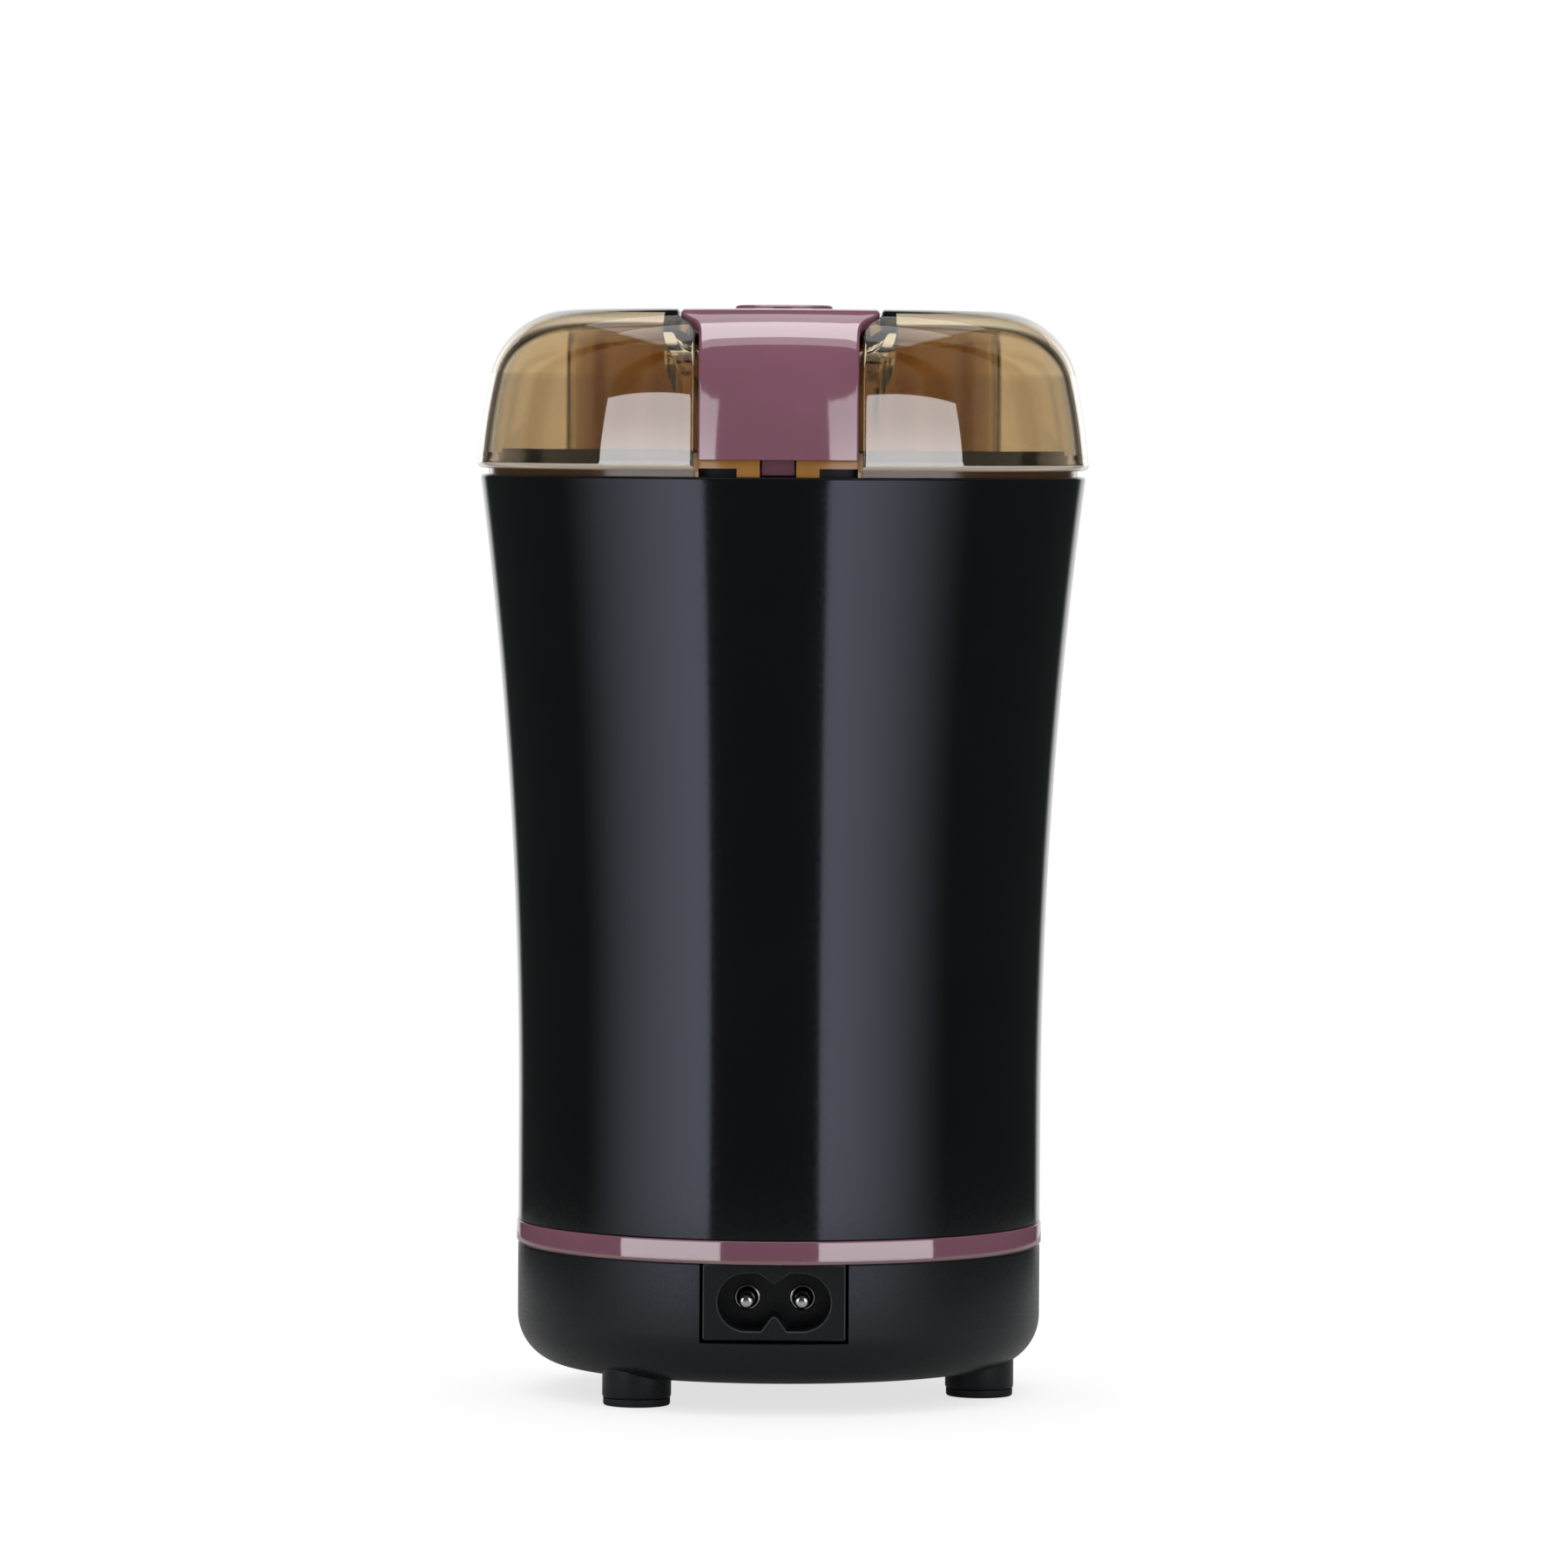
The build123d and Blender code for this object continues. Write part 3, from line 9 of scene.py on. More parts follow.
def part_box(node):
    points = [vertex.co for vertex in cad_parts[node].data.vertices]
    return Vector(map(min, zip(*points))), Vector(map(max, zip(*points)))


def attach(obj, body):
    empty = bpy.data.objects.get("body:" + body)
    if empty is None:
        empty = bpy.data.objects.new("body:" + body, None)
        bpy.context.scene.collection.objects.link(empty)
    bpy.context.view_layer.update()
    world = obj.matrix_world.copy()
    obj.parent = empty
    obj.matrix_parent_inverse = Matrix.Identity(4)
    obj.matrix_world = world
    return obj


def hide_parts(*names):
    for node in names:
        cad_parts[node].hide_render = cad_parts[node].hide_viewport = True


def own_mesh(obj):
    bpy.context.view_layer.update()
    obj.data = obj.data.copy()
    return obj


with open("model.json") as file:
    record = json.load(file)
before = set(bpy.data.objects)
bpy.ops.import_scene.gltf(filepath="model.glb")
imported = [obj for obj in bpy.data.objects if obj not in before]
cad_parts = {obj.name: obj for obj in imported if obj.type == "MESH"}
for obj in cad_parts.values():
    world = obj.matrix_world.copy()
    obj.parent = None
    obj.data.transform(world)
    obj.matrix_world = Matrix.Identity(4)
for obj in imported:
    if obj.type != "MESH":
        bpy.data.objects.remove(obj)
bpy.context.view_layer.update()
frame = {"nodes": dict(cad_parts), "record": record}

# Sizes of the object are in millimetres, in the frame of the solids, and piece() scales each mesh to metres.
MM = 0.001

# Fineness of the meshes
SEGMENTS = 192
SHELL_STEPS = 48
SIDE_STEPS = 16
CORNER_STEPS = 24
BEND_STEPS = 16
ROLL_STEPS = 8
EDGE_ROUNDS = 6
COIL_STEPS = 24
WIRE_STEPS = 10
ON_AXIS = 1e-6
SHARP_ANGLE = math.radians(35)

# Heights
FOOT_HEIGHT = 4.4
BASE_TOP = 23.6
RING_TOP = 27.2
FLARE_START = 45.0
SHELL_TOP = 145.2
LID_BOTTOM = 146.8
LID_TOP = 171.2

# Base, feet and ring
BASE_RADIUS = 41.4
BASE_WALL = 2.2
BASE_CORNER = 8.0
BASE_EDGE = 0.35
FOOT_CIRCLE = 32.6
FOOT_TURN = -41.7
FOOT_COUNT = 3
FOOT_RADIUS = 5.4
FOOT_EDGE = 0.5
FOOT_SINK = 1.7
PAD_RADIUS = 5.25
PAD_HEIGHT = 1.2
PAD_EDGE = 0.4
VENT_COUNT = 12
VENT_WIDTH = 2.4
VENT_INNER = 9.0
VENT_OUTER = 22.0
RING_RADIUS = 41.6
RING_WALL = 2.9
RING_LOW_EDGE = 0.45
RING_HIGH_EDGE = 0.25

# Shell
SHELL_TOP_RADIUS = 47.9
SHELL_WALL = 2.2
SHELL_EDGE = 0.5

# Mains inlet
INLET_WIDTH = 22.1
INLET_HEIGHT = 11.8
INLET_FRONT = 39.9
INLET_DEPTH = 12.9
INLET_GAP = 0.05
INLET_SLIT = 0.5
INLET_EDGE = 0.4
INLET_BEVEL = 0.2
LOBE_RADIUS = 4.5
PIN_PITCH = 8.6
PIN_RADIUS = 1.2
PIN_ROOT_RADIUS = 1.6
PIN_RECESS = 1.0
PIN_TIP_SHARE = 0.7
CAVITY_DEPTH = 9.0
RIDGE_WIDTH = 4.0
RIDGE_HEIGHT = 2.3
RIDGE_ROUND = 0.5
DIP_WIDTH = 5.0
DIP_DEPTH = 1.7
EYELET_RADIUS = 1.8
EYELET_WIRE = 0.22

# Lid
LID_RADIUS = 48.4
LID_WALL = 2.2
LID_CORNER = 13.0
LID_FLAT_RADIUS = 33.6
LID_LEAN = math.radians(13)
LID_KNEE = 161.0
LID_FOOT = 146.2
LID_EDGE = 0.9
LIP_OUTER = 46.6
LIP_INNER = 45.3
LIP_TOP = 148.5
SKIRT_OUTER = 34.55
SKIRT_INNER = 32.75
SKIRT_BOTTOM = 141.0
CHANNEL_INSET = 1.9
CHANNEL_DROP = 2.3
CHANNEL_WALL = 1.2
CHANNEL_SIDE_WALL = 2.0
CHANNEL_GAP = 0.65
CHANNEL_ROLL = 0.55
CHANNEL_REACH = 8.0
NOTCH_WIDTH = 5.9
NOTCH_HEIGHT = 1.3
NOTCH_BLOCK = 12.7
NOTCH_CLEAR = 2.0
CUP_CIRCLE = 38.6
CUP_RADIUS = 4.3
CUP_BORE = 3.2
CUP_FLOOR = 156.5
CUP_FLOOR_WALL = 1.2
CUP_HOLE = 1.9

# Strap
STRAP_HALF = 12.35
STRAP_FLARE_HALF = 15.0
STRAP_FLARE_REACH = 37.0
STRAP_FLARE_BEND = 6.0
STRAP_BEND_SPAN = 4.0
STRAP_FLARE_GROW = 0.35
STRAP_THICKNESS = 1.6
STRAP_BOTTOM = 147.9
STRAP_EDGE = 0.5
BUMP_RADIUS = 7.75
BUMP_HEIGHT = 0.9
BUMP_EDGE = 0.54
TONGUE_HALF = 2.5
TONGUE_FRONT = 45.15
TONGUE_BACK = 42.35
TONGUE_BOTTOM = 145.5
TONGUE_ROOT = 2.5
TONGUE_GAP = 0.3
TONGUE_OVERLAP = 0.1
POST_RADIUS = 1.6
PAD_POST_RADIUS = 2.9
PAD_POST_DROP = 0.2
POST_BOTTOM = 155.0
SPRING_TOP = 164.5
FLAT_STATIONS = (30.0, 26.0, 22.0)

# Bowl
BOWL_RADIUS = 35.0
BOWL_WALL = 0.7
BOWL_CORNER = 12.0
BOWL_FLANGE = 4.3
BOWL_FLOOR = 89.8
BOWL_RIM = 146.4
BOWL_BORE = 5.8
BOWL_LIP = 1.0

# Springs
SPRING_WIRE = 0.5
STRAP_SPRING_RADIUS = 2.4
STRAP_SPRING_TURNS = 6
ROD_SPRING_RADIUS = 1.85
ROD_SPRING_TURNS = 7

# Cutters reach past what they cut, and a hair keeps two faces from lying in one plane
FAR = 80.0
PAST = 1.0
HAIR = 0.02


def arc(centre, radius, start, end, steps):
    """Points (radius, height) along an arc, both ends included, angles in radians."""
    points = []
    for step in range(steps + 1):
        angle = start + (end - start) * step / steps
        points.append((centre[0] + radius * math.cos(angle), centre[1] + radius * math.sin(angle)))
    return points


def lathe(points, closed=True, segments=SEGMENTS, at=(0, 0)):
    """Mesh of revolution about an upright axis from (radius, height) points."""
    made = bmesh.new()
    rings = []
    for radius, height in points:
        if radius < ON_AXIS:
            rings.append([made.verts.new((at[0], at[1], height))])
            continue
        ring = []
        for turn in range(segments):
            angle = 2 * math.pi * turn / segments
            x = at[0] + radius * math.cos(angle)
            y = at[1] + radius * math.sin(angle)
            ring.append(made.verts.new((x, y, height)))
        rings.append(ring)
    pairs = list(zip(rings, rings[1:]))
    if closed and len(rings[0]) > 1 and len(rings[-1]) > 1:
        pairs.append((rings[-1], rings[0]))
    for low, high in pairs:
        for turn in range(segments):
            after = (turn + 1) % segments
            corners = [low[turn % len(low)], low[after % len(low)]]
            corners += [high[after % len(high)], high[turn % len(high)]]
            corners = list(dict.fromkeys(corners))
            if len(corners) > 2:
                made.faces.new(corners)
    bmesh.ops.recalc_face_normals(made, faces=made.faces)
    return made


def bridge(made, loops):
    """Faces between loops that have as many points."""
    for low, high in zip(loops, loops[1:]):
        for index in range(len(low)):
            after = (index + 1) % len(low)
            made.faces.new((low[index], low[after], high[after], high[index]))


def loft(levels):
    """Upright solid through (plan outline, height) levels, whose outlines have as many points."""
    made = bmesh.new()
    loops = []
    for outline, height in levels:
        loops.append([made.verts.new((x, y, height)) for x, y in outline])
    made.faces.new(loops[0])
    made.faces.new(loops[-1])
    bridge(made, loops)
    bmesh.ops.recalc_face_normals(made, faces=made.faces)
    return made


def prism(outline, bottom, top):
    """Upright prism over a closed plan outline."""
    return loft([(outline, bottom), (outline, top)])


def widened(outline, by):
    """A closed outline that runs anticlockwise, moved outwards."""
    moved = []
    count = len(outline)
    for index, point in enumerate(outline):
        here = Vector(point)
        before = (here - Vector(outline[index - 1])).normalized()
        ahead = (Vector(outline[(index + 1) % count]) - here).normalized()
        out_before = Vector((before.y, -before.x))
        out_ahead = Vector((ahead.y, -ahead.x))
        mitre = (out_before + out_ahead) / (1 + out_before.dot(out_ahead))
        moved.append(tuple(here + mitre * by))
    return moved


def block(x0, x1, y0, y1, z0, z1):
    return prism([(x0, y0), (x1, y0), (x1, y1), (x0, y1)], z0, z1)


def linked(name, data):
    """New object in the scene."""
    item = bpy.data.objects.new(name, data)
    bpy.context.scene.collection.objects.link(item)
    return item


def joined(parts):
    """One mesh from several that don't touch."""
    whole = bmesh.new()
    for part in parts:
        mesh = bpy.data.meshes.new("part")
        part.to_mesh(mesh)
        part.free()
        whole.from_mesh(mesh)
        bpy.data.meshes.remove(mesh)
    return whole


def combine(first, second, operation):
    """Boolean of two closed meshes; both are used up."""
    objects = []
    for item in (first, second):
        mesh = bpy.data.meshes.new("solid")
        item.to_mesh(mesh)
        item.free()
        objects.append(linked("solid", mesh))
    modifier = objects[0].modifiers.new("combine", "BOOLEAN")
    modifier.operation = operation
    modifier.solver = "EXACT"
    modifier.object = objects[1]
    graph = bpy.context.evaluated_depsgraph_get()
    mesh = bpy.data.meshes.new_from_object(objects[0].evaluated_get(graph))
    result = bmesh.new()
    result.from_mesh(mesh)
    bpy.data.meshes.remove(mesh)
    for holder in objects:
        old = holder.data
        bpy.data.objects.remove(holder)
        bpy.data.meshes.remove(old)
    return result


def cut(body, tool):
    return combine(body, tool, "DIFFERENCE")


def piece(name, made, body, nodes, slot):
    """Finished object from a millimetre mesh: scaled, smooth apart from sharp edges, on its body."""
    bmesh.ops.remove_doubles(made, verts=made.verts, dist=1e-4)
    bmesh.ops.holes_fill(made, edges=[edge for edge in made.edges if edge.is_boundary], sides=4)
    bmesh.ops.scale(made, vec=(MM, MM, MM), verts=made.verts)
    mesh = bpy.data.meshes.new(name)
    made.to_mesh(mesh)
    made.free()
    item = linked(name, mesh)
    mesh.materials.append(MATERIALS[slot])
    for polygon in mesh.polygons:
        polygon.use_smooth = True
    mesh.set_sharp_from_angle(angle=SHARP_ANGLE)
    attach(item, body)
    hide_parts(*nodes)
    return item


# Materials

NOISE_LOW = 0.3
NOISE_HIGH = 0.7
COLOUR_DRIFT = 0.06
LEAST_ROUGHNESS = 0.02
SMOKE_IOR = 1.49
COAT_IOR = 2.0
COAT_ROUGHNESS = 0.02
SMOKE = ((0.725, 0.59, 0.395), (0.765, 0.63, 0.43))
# Darker tint: painted shade on the deep walls and floor of the strap's channel.
SMOKE_WALL_PAINTED_SHADE = ((0.16, 0.10, 0.05), (0.20, 0.13, 0.07))
SMOKE_SKIRT = ((0.51, 0.355, 0.19), (0.55, 0.39, 0.215))
# Painted light on the lid's lower edge: an amber glow under the strap, shade on the lip and a highlight on
# the foot.
LIP_AMBER_PAINTED_GLOW = ((0.58, 0.25, 0.045), (0.68, 0.32, 0.07))
LIP_PAINTED_SHADE = (0.13, 0.065, 0.025)
FOOT_PAINTED_HIGHLIGHT = (0.74, 0.64, 0.52)
FOOT_BLUR = 0.1
EDGE_TRANSMISSION = 0.25
TURNED_STRETCH = (1, 1, 60)
BRUSHED_STRETCH = (40, 2, 2)
LINE_SHADE = 0.86
LINE_SMOOTH = 0.7
LINE_ROUGH = 1.4


def new_material(name):
    material = bpy.data.materials.new(name)
    material.use_nodes = True
    return material, material.node_tree, material.node_tree.nodes["Principled BSDF"]


def noise(tree, scale, detail, stretch=(1, 1, 1)):
    """Noise in object space, with features of about 1/scale metres."""
    place = tree.nodes.new("ShaderNodeTexCoord")
    mapping = tree.nodes.new("ShaderNodeMapping")
    mapping.inputs["Scale"].default_value = stretch
    texture = tree.nodes.new("ShaderNodeTexNoise")
    texture.inputs["Scale"].default_value = scale
    texture.inputs["Detail"].default_value = detail
    tree.links.new(place.outputs["Object"], mapping.inputs["Vector"])
    tree.links.new(mapping.outputs["Vector"], texture.inputs["Vector"])
    return texture.outputs["Fac"]


def axes(tree, node, output):
    """X, Y and Z of the place that a node of some type gives."""
    place = tree.nodes.new(node)
    split = tree.nodes.new("ShaderNodeSeparateXYZ")
    tree.links.new(place.outputs[output], split.inputs["Vector"])
    return split.outputs


def maths(tree, operation, *values):
    """Result of a math node on links or plain numbers."""
    node = tree.nodes.new("ShaderNodeMath")
    node.operation = operation
    for entry, value in zip(node.inputs, values):
        if isinstance(value, (int, float)):
            entry.default_value = value
        else:
            tree.links.new(value, entry)
    return node.outputs["Value"]


def ramp(tree, value, low, high):
    """A noise value spread between two numbers."""
    return span(tree, value, NOISE_LOW, NOISE_HIGH, low, high)


def tint(tree, value, first, second):
    """A colour between two, by a noise value."""
    return blend(tree, ramp(tree, value, 0, 1), first, second)


def bump(tree, shader, value, height, strength=1.0):
    """Surface relief of a given height in metres."""
    node = tree.nodes.new("ShaderNodeBump")
    node.inputs["Strength"].default_value = strength
    node.inputs["Distance"].default_value = height
    tree.links.new(value, node.inputs["Height"])
    tree.links.new(node.outputs["Normal"], shader.inputs["Normal"])


def span(tree, value, start, end, low=0.0, high=1.0, curve="LINEAR"):
    """A value that goes from low to high as another goes from start to end."""
    node = tree.nodes.new("ShaderNodeMapRange")
    node.interpolation_type = curve
    node.inputs["From Min"].default_value = start
    node.inputs["From Max"].default_value = end
    node.inputs["To Min"].default_value = low
    node.inputs["To Max"].default_value = high
    tree.links.new(value, node.inputs["Value"])
    return node.outputs["Result"]


def blend(tree, share, first, second):
    """Colour mix of two links or two plain colours."""
    node = tree.nodes.new("ShaderNodeMix")
    node.data_type = "RGBA"
    tree.links.new(share, node.inputs["Factor"])
    for name, colour in (("A", first), ("B", second)):
        socket = [item for item in node.inputs if item.name == name and item.type == "RGBA"][0]
        if isinstance(colour, tuple):
            socket.default_value = (*colour, 1)
        else:
            tree.links.new(colour, socket)
    return [item for item in node.outputs if item.type == "RGBA"][0]


def scaled(colour, share):
    return tuple(part * share for part in colour)


def moulded(name, colour, rough, spread, grain, relief, metallic=0.0, ior=1.5):
    """Plain moulded or cast material: slight colour drift, uneven gloss and a fine grain."""
    material, tree, shader = new_material(name)
    drift = noise(tree, scale=60, detail=4)
    fine = noise(tree, scale=grain, detail=2)
    drifting = tint(tree, drift, scaled(colour, 1 - COLOUR_DRIFT), scaled(colour, 1 + COLOUR_DRIFT))
    tree.links.new(drifting, shader.inputs["Base Color"])
    uneven = ramp(tree, fine, max(rough - spread, LEAST_ROUGHNESS), rough + spread)
    tree.links.new(uneven, shader.inputs["Roughness"])
    shader.inputs["Metallic"].default_value = metallic
    shader.inputs["IOR"].default_value = ior
    bump(tree, shader, fine, relief)
    return material


def smoke_plastic(name, first, second, coat=0.0):
    """See-through brown lid moulding, with or without a hard gloss coat."""
    material, tree, shader = new_material(name)
    drift = noise(tree, scale=18, detail=2)
    tree.links.new(tint(tree, drift, first, second), shader.inputs["Base Color"])
    shader.inputs["Transmission Weight"].default_value = 1.0
    shader.inputs["IOR"].default_value = SMOKE_IOR
    shader.inputs["Coat Weight"].default_value = coat
    shader.inputs["Coat IOR"].default_value = COAT_IOR
    shader.inputs["Coat Roughness"].default_value = COAT_ROUGHNESS
    fine = noise(tree, scale=240, detail=2)
    tree.links.new(ramp(tree, fine, low=0.0, high=0.02), shader.inputs["Roughness"])
    bump(tree, shader, drift, height=6e-5, strength=0.35)
    return material


def smoke_edge_painted_light():
    """Lid edges, where light leaves the plastic, in painted light: an amber painted glow under the strap,
    else painted shade on a dark lip and a painted highlight on a pale foot.
    """
    material, tree, shader = new_material("smoke_edge_painted_light")
    place = axes(tree, "ShaderNodeTexCoord", "Object")
    drift = noise(tree, scale=120, detail=3)
    side = maths(tree, "ABSOLUTE", place["X"])
    under = span(tree, side, STRAP_HALF * MM, (STRAP_HALF + CHANNEL_GAP) * MM)
    foot = span(tree, place["Z"], (LID_FOOT - FOOT_BLUR) * MM, (LID_FOOT + FOOT_BLUR) * MM)
    painted_shade_and_highlight = blend(tree, foot, LIP_PAINTED_SHADE, FOOT_PAINTED_HIGHLIGHT)
    painted_glow = tint(tree, drift, *LIP_AMBER_PAINTED_GLOW)
    tree.links.new(blend(tree, under, painted_glow, painted_shade_and_highlight), shader.inputs["Base Color"])
    shader.inputs["Transmission Weight"].default_value = EDGE_TRANSMISSION
    shader.inputs["IOR"].default_value = SMOKE_IOR
    fine = noise(tree, scale=600, detail=2)
    tree.links.new(ramp(tree, fine, low=0.12, high=0.2), shader.inputs["Roughness"])
    bump(tree, shader, fine, height=4e-6)
    return material


def brushed(name, colour, rough, around_axis):
    """Bare steel with fine turning or brushing lines."""
    material, tree, shader = new_material(name)
    stretch = TURNED_STRETCH if around_axis else BRUSHED_STRETCH
    lines = noise(tree, scale=90, detail=4, stretch=stretch)
    tree.links.new(tint(tree, lines, scaled(colour, LINE_SHADE), colour), shader.inputs["Base Color"])
    tree.links.new(ramp(tree, lines, rough * LINE_SMOOTH, rough * LINE_ROUGH), shader.inputs["Roughness"])
    shader.inputs["Metallic"].default_value = 1.0
    bump(tree, shader, lines, height=6e-6, strength=0.5)
    return material


# A moulded row: name, colour, roughness, its spread, grain, relief in metres and, for metals, metallic
MATERIALS = {
    "smoke_plastic": smoke_plastic("smoke_plastic", *SMOKE),
    "plum_plastic": moulded("plum_plastic", (0.262, 0.110, 0.157), 0.06, 0.02, 1400, 1e-6, ior=2.2),
    "black_gloss": moulded("black_gloss", (0.0055, 0.0072, 0.0076), 0.11, 0.02, 1600, 1e-6, ior=1.46),
    "black_satin": moulded("black_satin", (0.0085, 0.0105, 0.0125), 0.31, 0.06, 2600, 8e-6, ior=1.4),
    "inlet_plastic": moulded("inlet_plastic", (0.0075, 0.009, 0.0105), 0.32, 0.06, 2400, 8e-6, ior=1.4),
    "rim_plastic": moulded("rim_plastic", (0.007, 0.0072, 0.0075), 0.42, 0.06, 2000, 6e-6, ior=1.35),
    "rubber": moulded("rubber", (0.011, 0.0115, 0.0125), 0.5, 0.08, 2200, 1.2e-5, ior=1.4),
    "gasket_rubber": moulded("gasket_rubber", (0.05, 0.05, 0.052), 0.6, 0.08, 2000, 1e-5),
    "bowl_steel": brushed("bowl_steel", (0.62, 0.61, 0.60), 0.24, True),
    "blade_steel": brushed("blade_steel", (0.60, 0.60, 0.60), 0.2, False),
    "pin_metal": moulded("pin_metal", (0.66, 0.65, 0.62), 0.16, 0.05, 1800, 3e-6, 1.0),
    "fastener_steel": moulded("fastener_steel", (0.55, 0.55, 0.54), 0.28, 0.08, 1500, 5e-6, 1.0),
    "spring_steel": moulded("spring_steel", (0.50, 0.50, 0.50), 0.26, 0.08, 1800, 4e-6, 1.0),
    "cast_alloy": moulded("cast_alloy", (0.48, 0.48, 0.47), 0.45, 0.1, 1100, 2e-5, 1.0),
    "laminations": moulded("laminations", (0.30, 0.31, 0.33), 0.42, 0.1, 1300, 1e-5, 1.0),
    "copper_wire": moulded("copper_wire", (0.62, 0.24, 0.09), 0.32, 0.1, 1700, 2e-5, 0.9),
    "copper_bars": moulded("copper_bars", (0.72, 0.36, 0.18), 0.24, 0.06, 1500, 4e-6, 1.0),
    "sintered_bronze": moulded("sintered_bronze", (0.50, 0.33, 0.15), 0.48, 0.1, 2400, 2e-5, 1.0),
    "chassis_plastic": moulded("chassis_plastic", (0.05, 0.05, 0.053), 0.5, 0.08, 1800, 1e-5),
    "holder_plastic": moulded("holder_plastic", (0.16, 0.07, 0.035), 0.42, 0.08, 1600, 8e-6),
    "carbon": moulded("carbon", (0.018, 0.018, 0.019), 0.72, 0.08, 2600, 1.5e-5),
    "fan_plastic": moulded("fan_plastic", (0.03, 0.03, 0.032), 0.45, 0.08, 1500, 8e-6),
    "switch_plastic": moulded("switch_plastic", (0.02, 0.02, 0.021), 0.42, 0.07, 1700, 6e-6),
    "plunger_plastic": moulded("plunger_plastic", (0.45, 0.06, 0.03), 0.4, 0.06, 1700, 5e-6),
    "rod_plastic": moulded("rod_plastic", (0.52, 0.50, 0.44), 0.42, 0.06, 1600, 6e-6),
    "live_insulation": moulded("live_insulation", (0.13, 0.055, 0.025), 0.45, 0.06, 1500, 6e-6),
    "neutral_insulation": moulded("neutral_insulation", (0.03, 0.10, 0.32), 0.45, 0.06, 1500, 6e-6),
    "motor_insulation": moulded("motor_insulation", (0.03, 0.03, 0.032), 0.48, 0.06, 1500, 6e-6),
}


def dress_nodes():
    """Each solid that stays gets the material of its slot in the record."""
    for entry in frame["record"]["subparts"]:
        for holder in frame["nodes"][entry["node"]].material_slots:
            holder.material = MATERIALS[entry["material_slot"]]


# Base and feet

def foot_places():
    angles = [math.radians(FOOT_TURN + 360 / FOOT_COUNT * turn) for turn in range(FOOT_COUNT)]
    return [(FOOT_CIRCLE * math.sin(angle), -FOOT_CIRCLE * math.cos(angle)) for angle in angles]


def base_shell():
    flat = BASE_RADIUS - BASE_CORNER
    corner = FOOT_HEIGHT + BASE_CORNER
    inner = BASE_RADIUS - BASE_WALL
    floor = FOOT_HEIGHT + BASE_WALL
    quarter = math.pi / 2
    outline = [(0, FOOT_HEIGHT)]
    outline += arc((flat, corner), BASE_CORNER, -quarter, 0, steps=16)
    outline += arc((BASE_RADIUS - BASE_EDGE, BASE_TOP - BASE_EDGE), BASE_EDGE, 0, quarter, steps=4)
    outline += [(inner, BASE_TOP)]
    outline += arc((flat, corner), BASE_CORNER - BASE_WALL, 0, -quarter, steps=10)
    outline += [(0, floor)]
    body = lathe(outline, closed=False)
    post_top = FOOT_HEIGHT + FOOT_SINK
    posts = []
    for place in foot_places():
        post = [(0, PAD_HEIGHT)]
        post += arc((FOOT_RADIUS - FOOT_EDGE, PAD_HEIGHT + FOOT_EDGE), FOOT_EDGE, -quarter, 0, steps=4)
        post += [(FOOT_RADIUS, post_top), (0, post_top)]
        posts.append(lathe(post, closed=False, segments=64, at=place))
    body = combine(body, joined(posts), "UNION")
    half = INLET_WIDTH / 2 + INLET_SLIT
    bottom = BASE_TOP - INLET_HEIGHT - INLET_GAP - INLET_SLIT
    body = cut(body, block(-half, half, -FAR, INLET_DEPTH - INLET_FRONT, bottom, FAR))
    slots = []
    for turn in range(VENT_COUNT):
        slots.append(vent(2 * math.pi * turn / VENT_COUNT))
    return cut(body, joined(slots))


def vent(angle):
    """Cutter for one slot with round ends under the base."""
    radius = VENT_WIDTH / 2
    ends = arc((VENT_OUTER - radius, 0), radius, -math.pi / 2, math.pi / 2, steps=8)
    ends += arc((VENT_INNER + radius, 0), radius, math.pi / 2, 3 * math.pi / 2, steps=8)
    turned = []
    for x, y in ends:
        turned.append((x * math.cos(angle) - y * math.sin(angle), x * math.sin(angle) + y * math.cos(angle)))
    return prism(turned, FOOT_HEIGHT - PAST, FOOT_HEIGHT + BASE_WALL + PAST)


def foot_pads():
    pads = []
    for place in foot_places():
        outline = [(0, 0)]
        outline += arc((PAD_RADIUS - PAD_EDGE, PAD_EDGE), PAD_EDGE, -math.pi / 2, 0, steps=4)
        outline += [(PAD_RADIUS, PAD_HEIGHT), (0, PAD_HEIGHT)]
        pads.append(lathe(outline, closed=False, segments=64, at=place))
    return joined(pads)


def trim_ring():
    inner = RING_RADIUS - RING_WALL
    low = RING_LOW_EDGE
    high = RING_HIGH_EDGE
    outline = [(inner, BASE_TOP)]
    outline += [(RING_RADIUS - low, BASE_TOP), (RING_RADIUS, BASE_TOP + low)]
    outline += arc((RING_RADIUS - high, RING_TOP - high), high, 0, math.pi / 2, steps=4)
    outline += [(inner, RING_TOP)]
    return lathe(outline)


# Shell

def shell_radius(height):
    """Outer radius at a height: straight, then an arc that flares."""
    if height <= FLARE_START:
        return BASE_RADIUS
    reach = SHELL_TOP - FLARE_START
    spread = SHELL_TOP_RADIUS - BASE_RADIUS
    chord = reach ** 2 + spread ** 2
    rise = height - FLARE_START
    return BASE_RADIUS + 2 * spread * rise ** 2 / (chord + math.sqrt(chord ** 2 - (2 * spread * rise) ** 2))


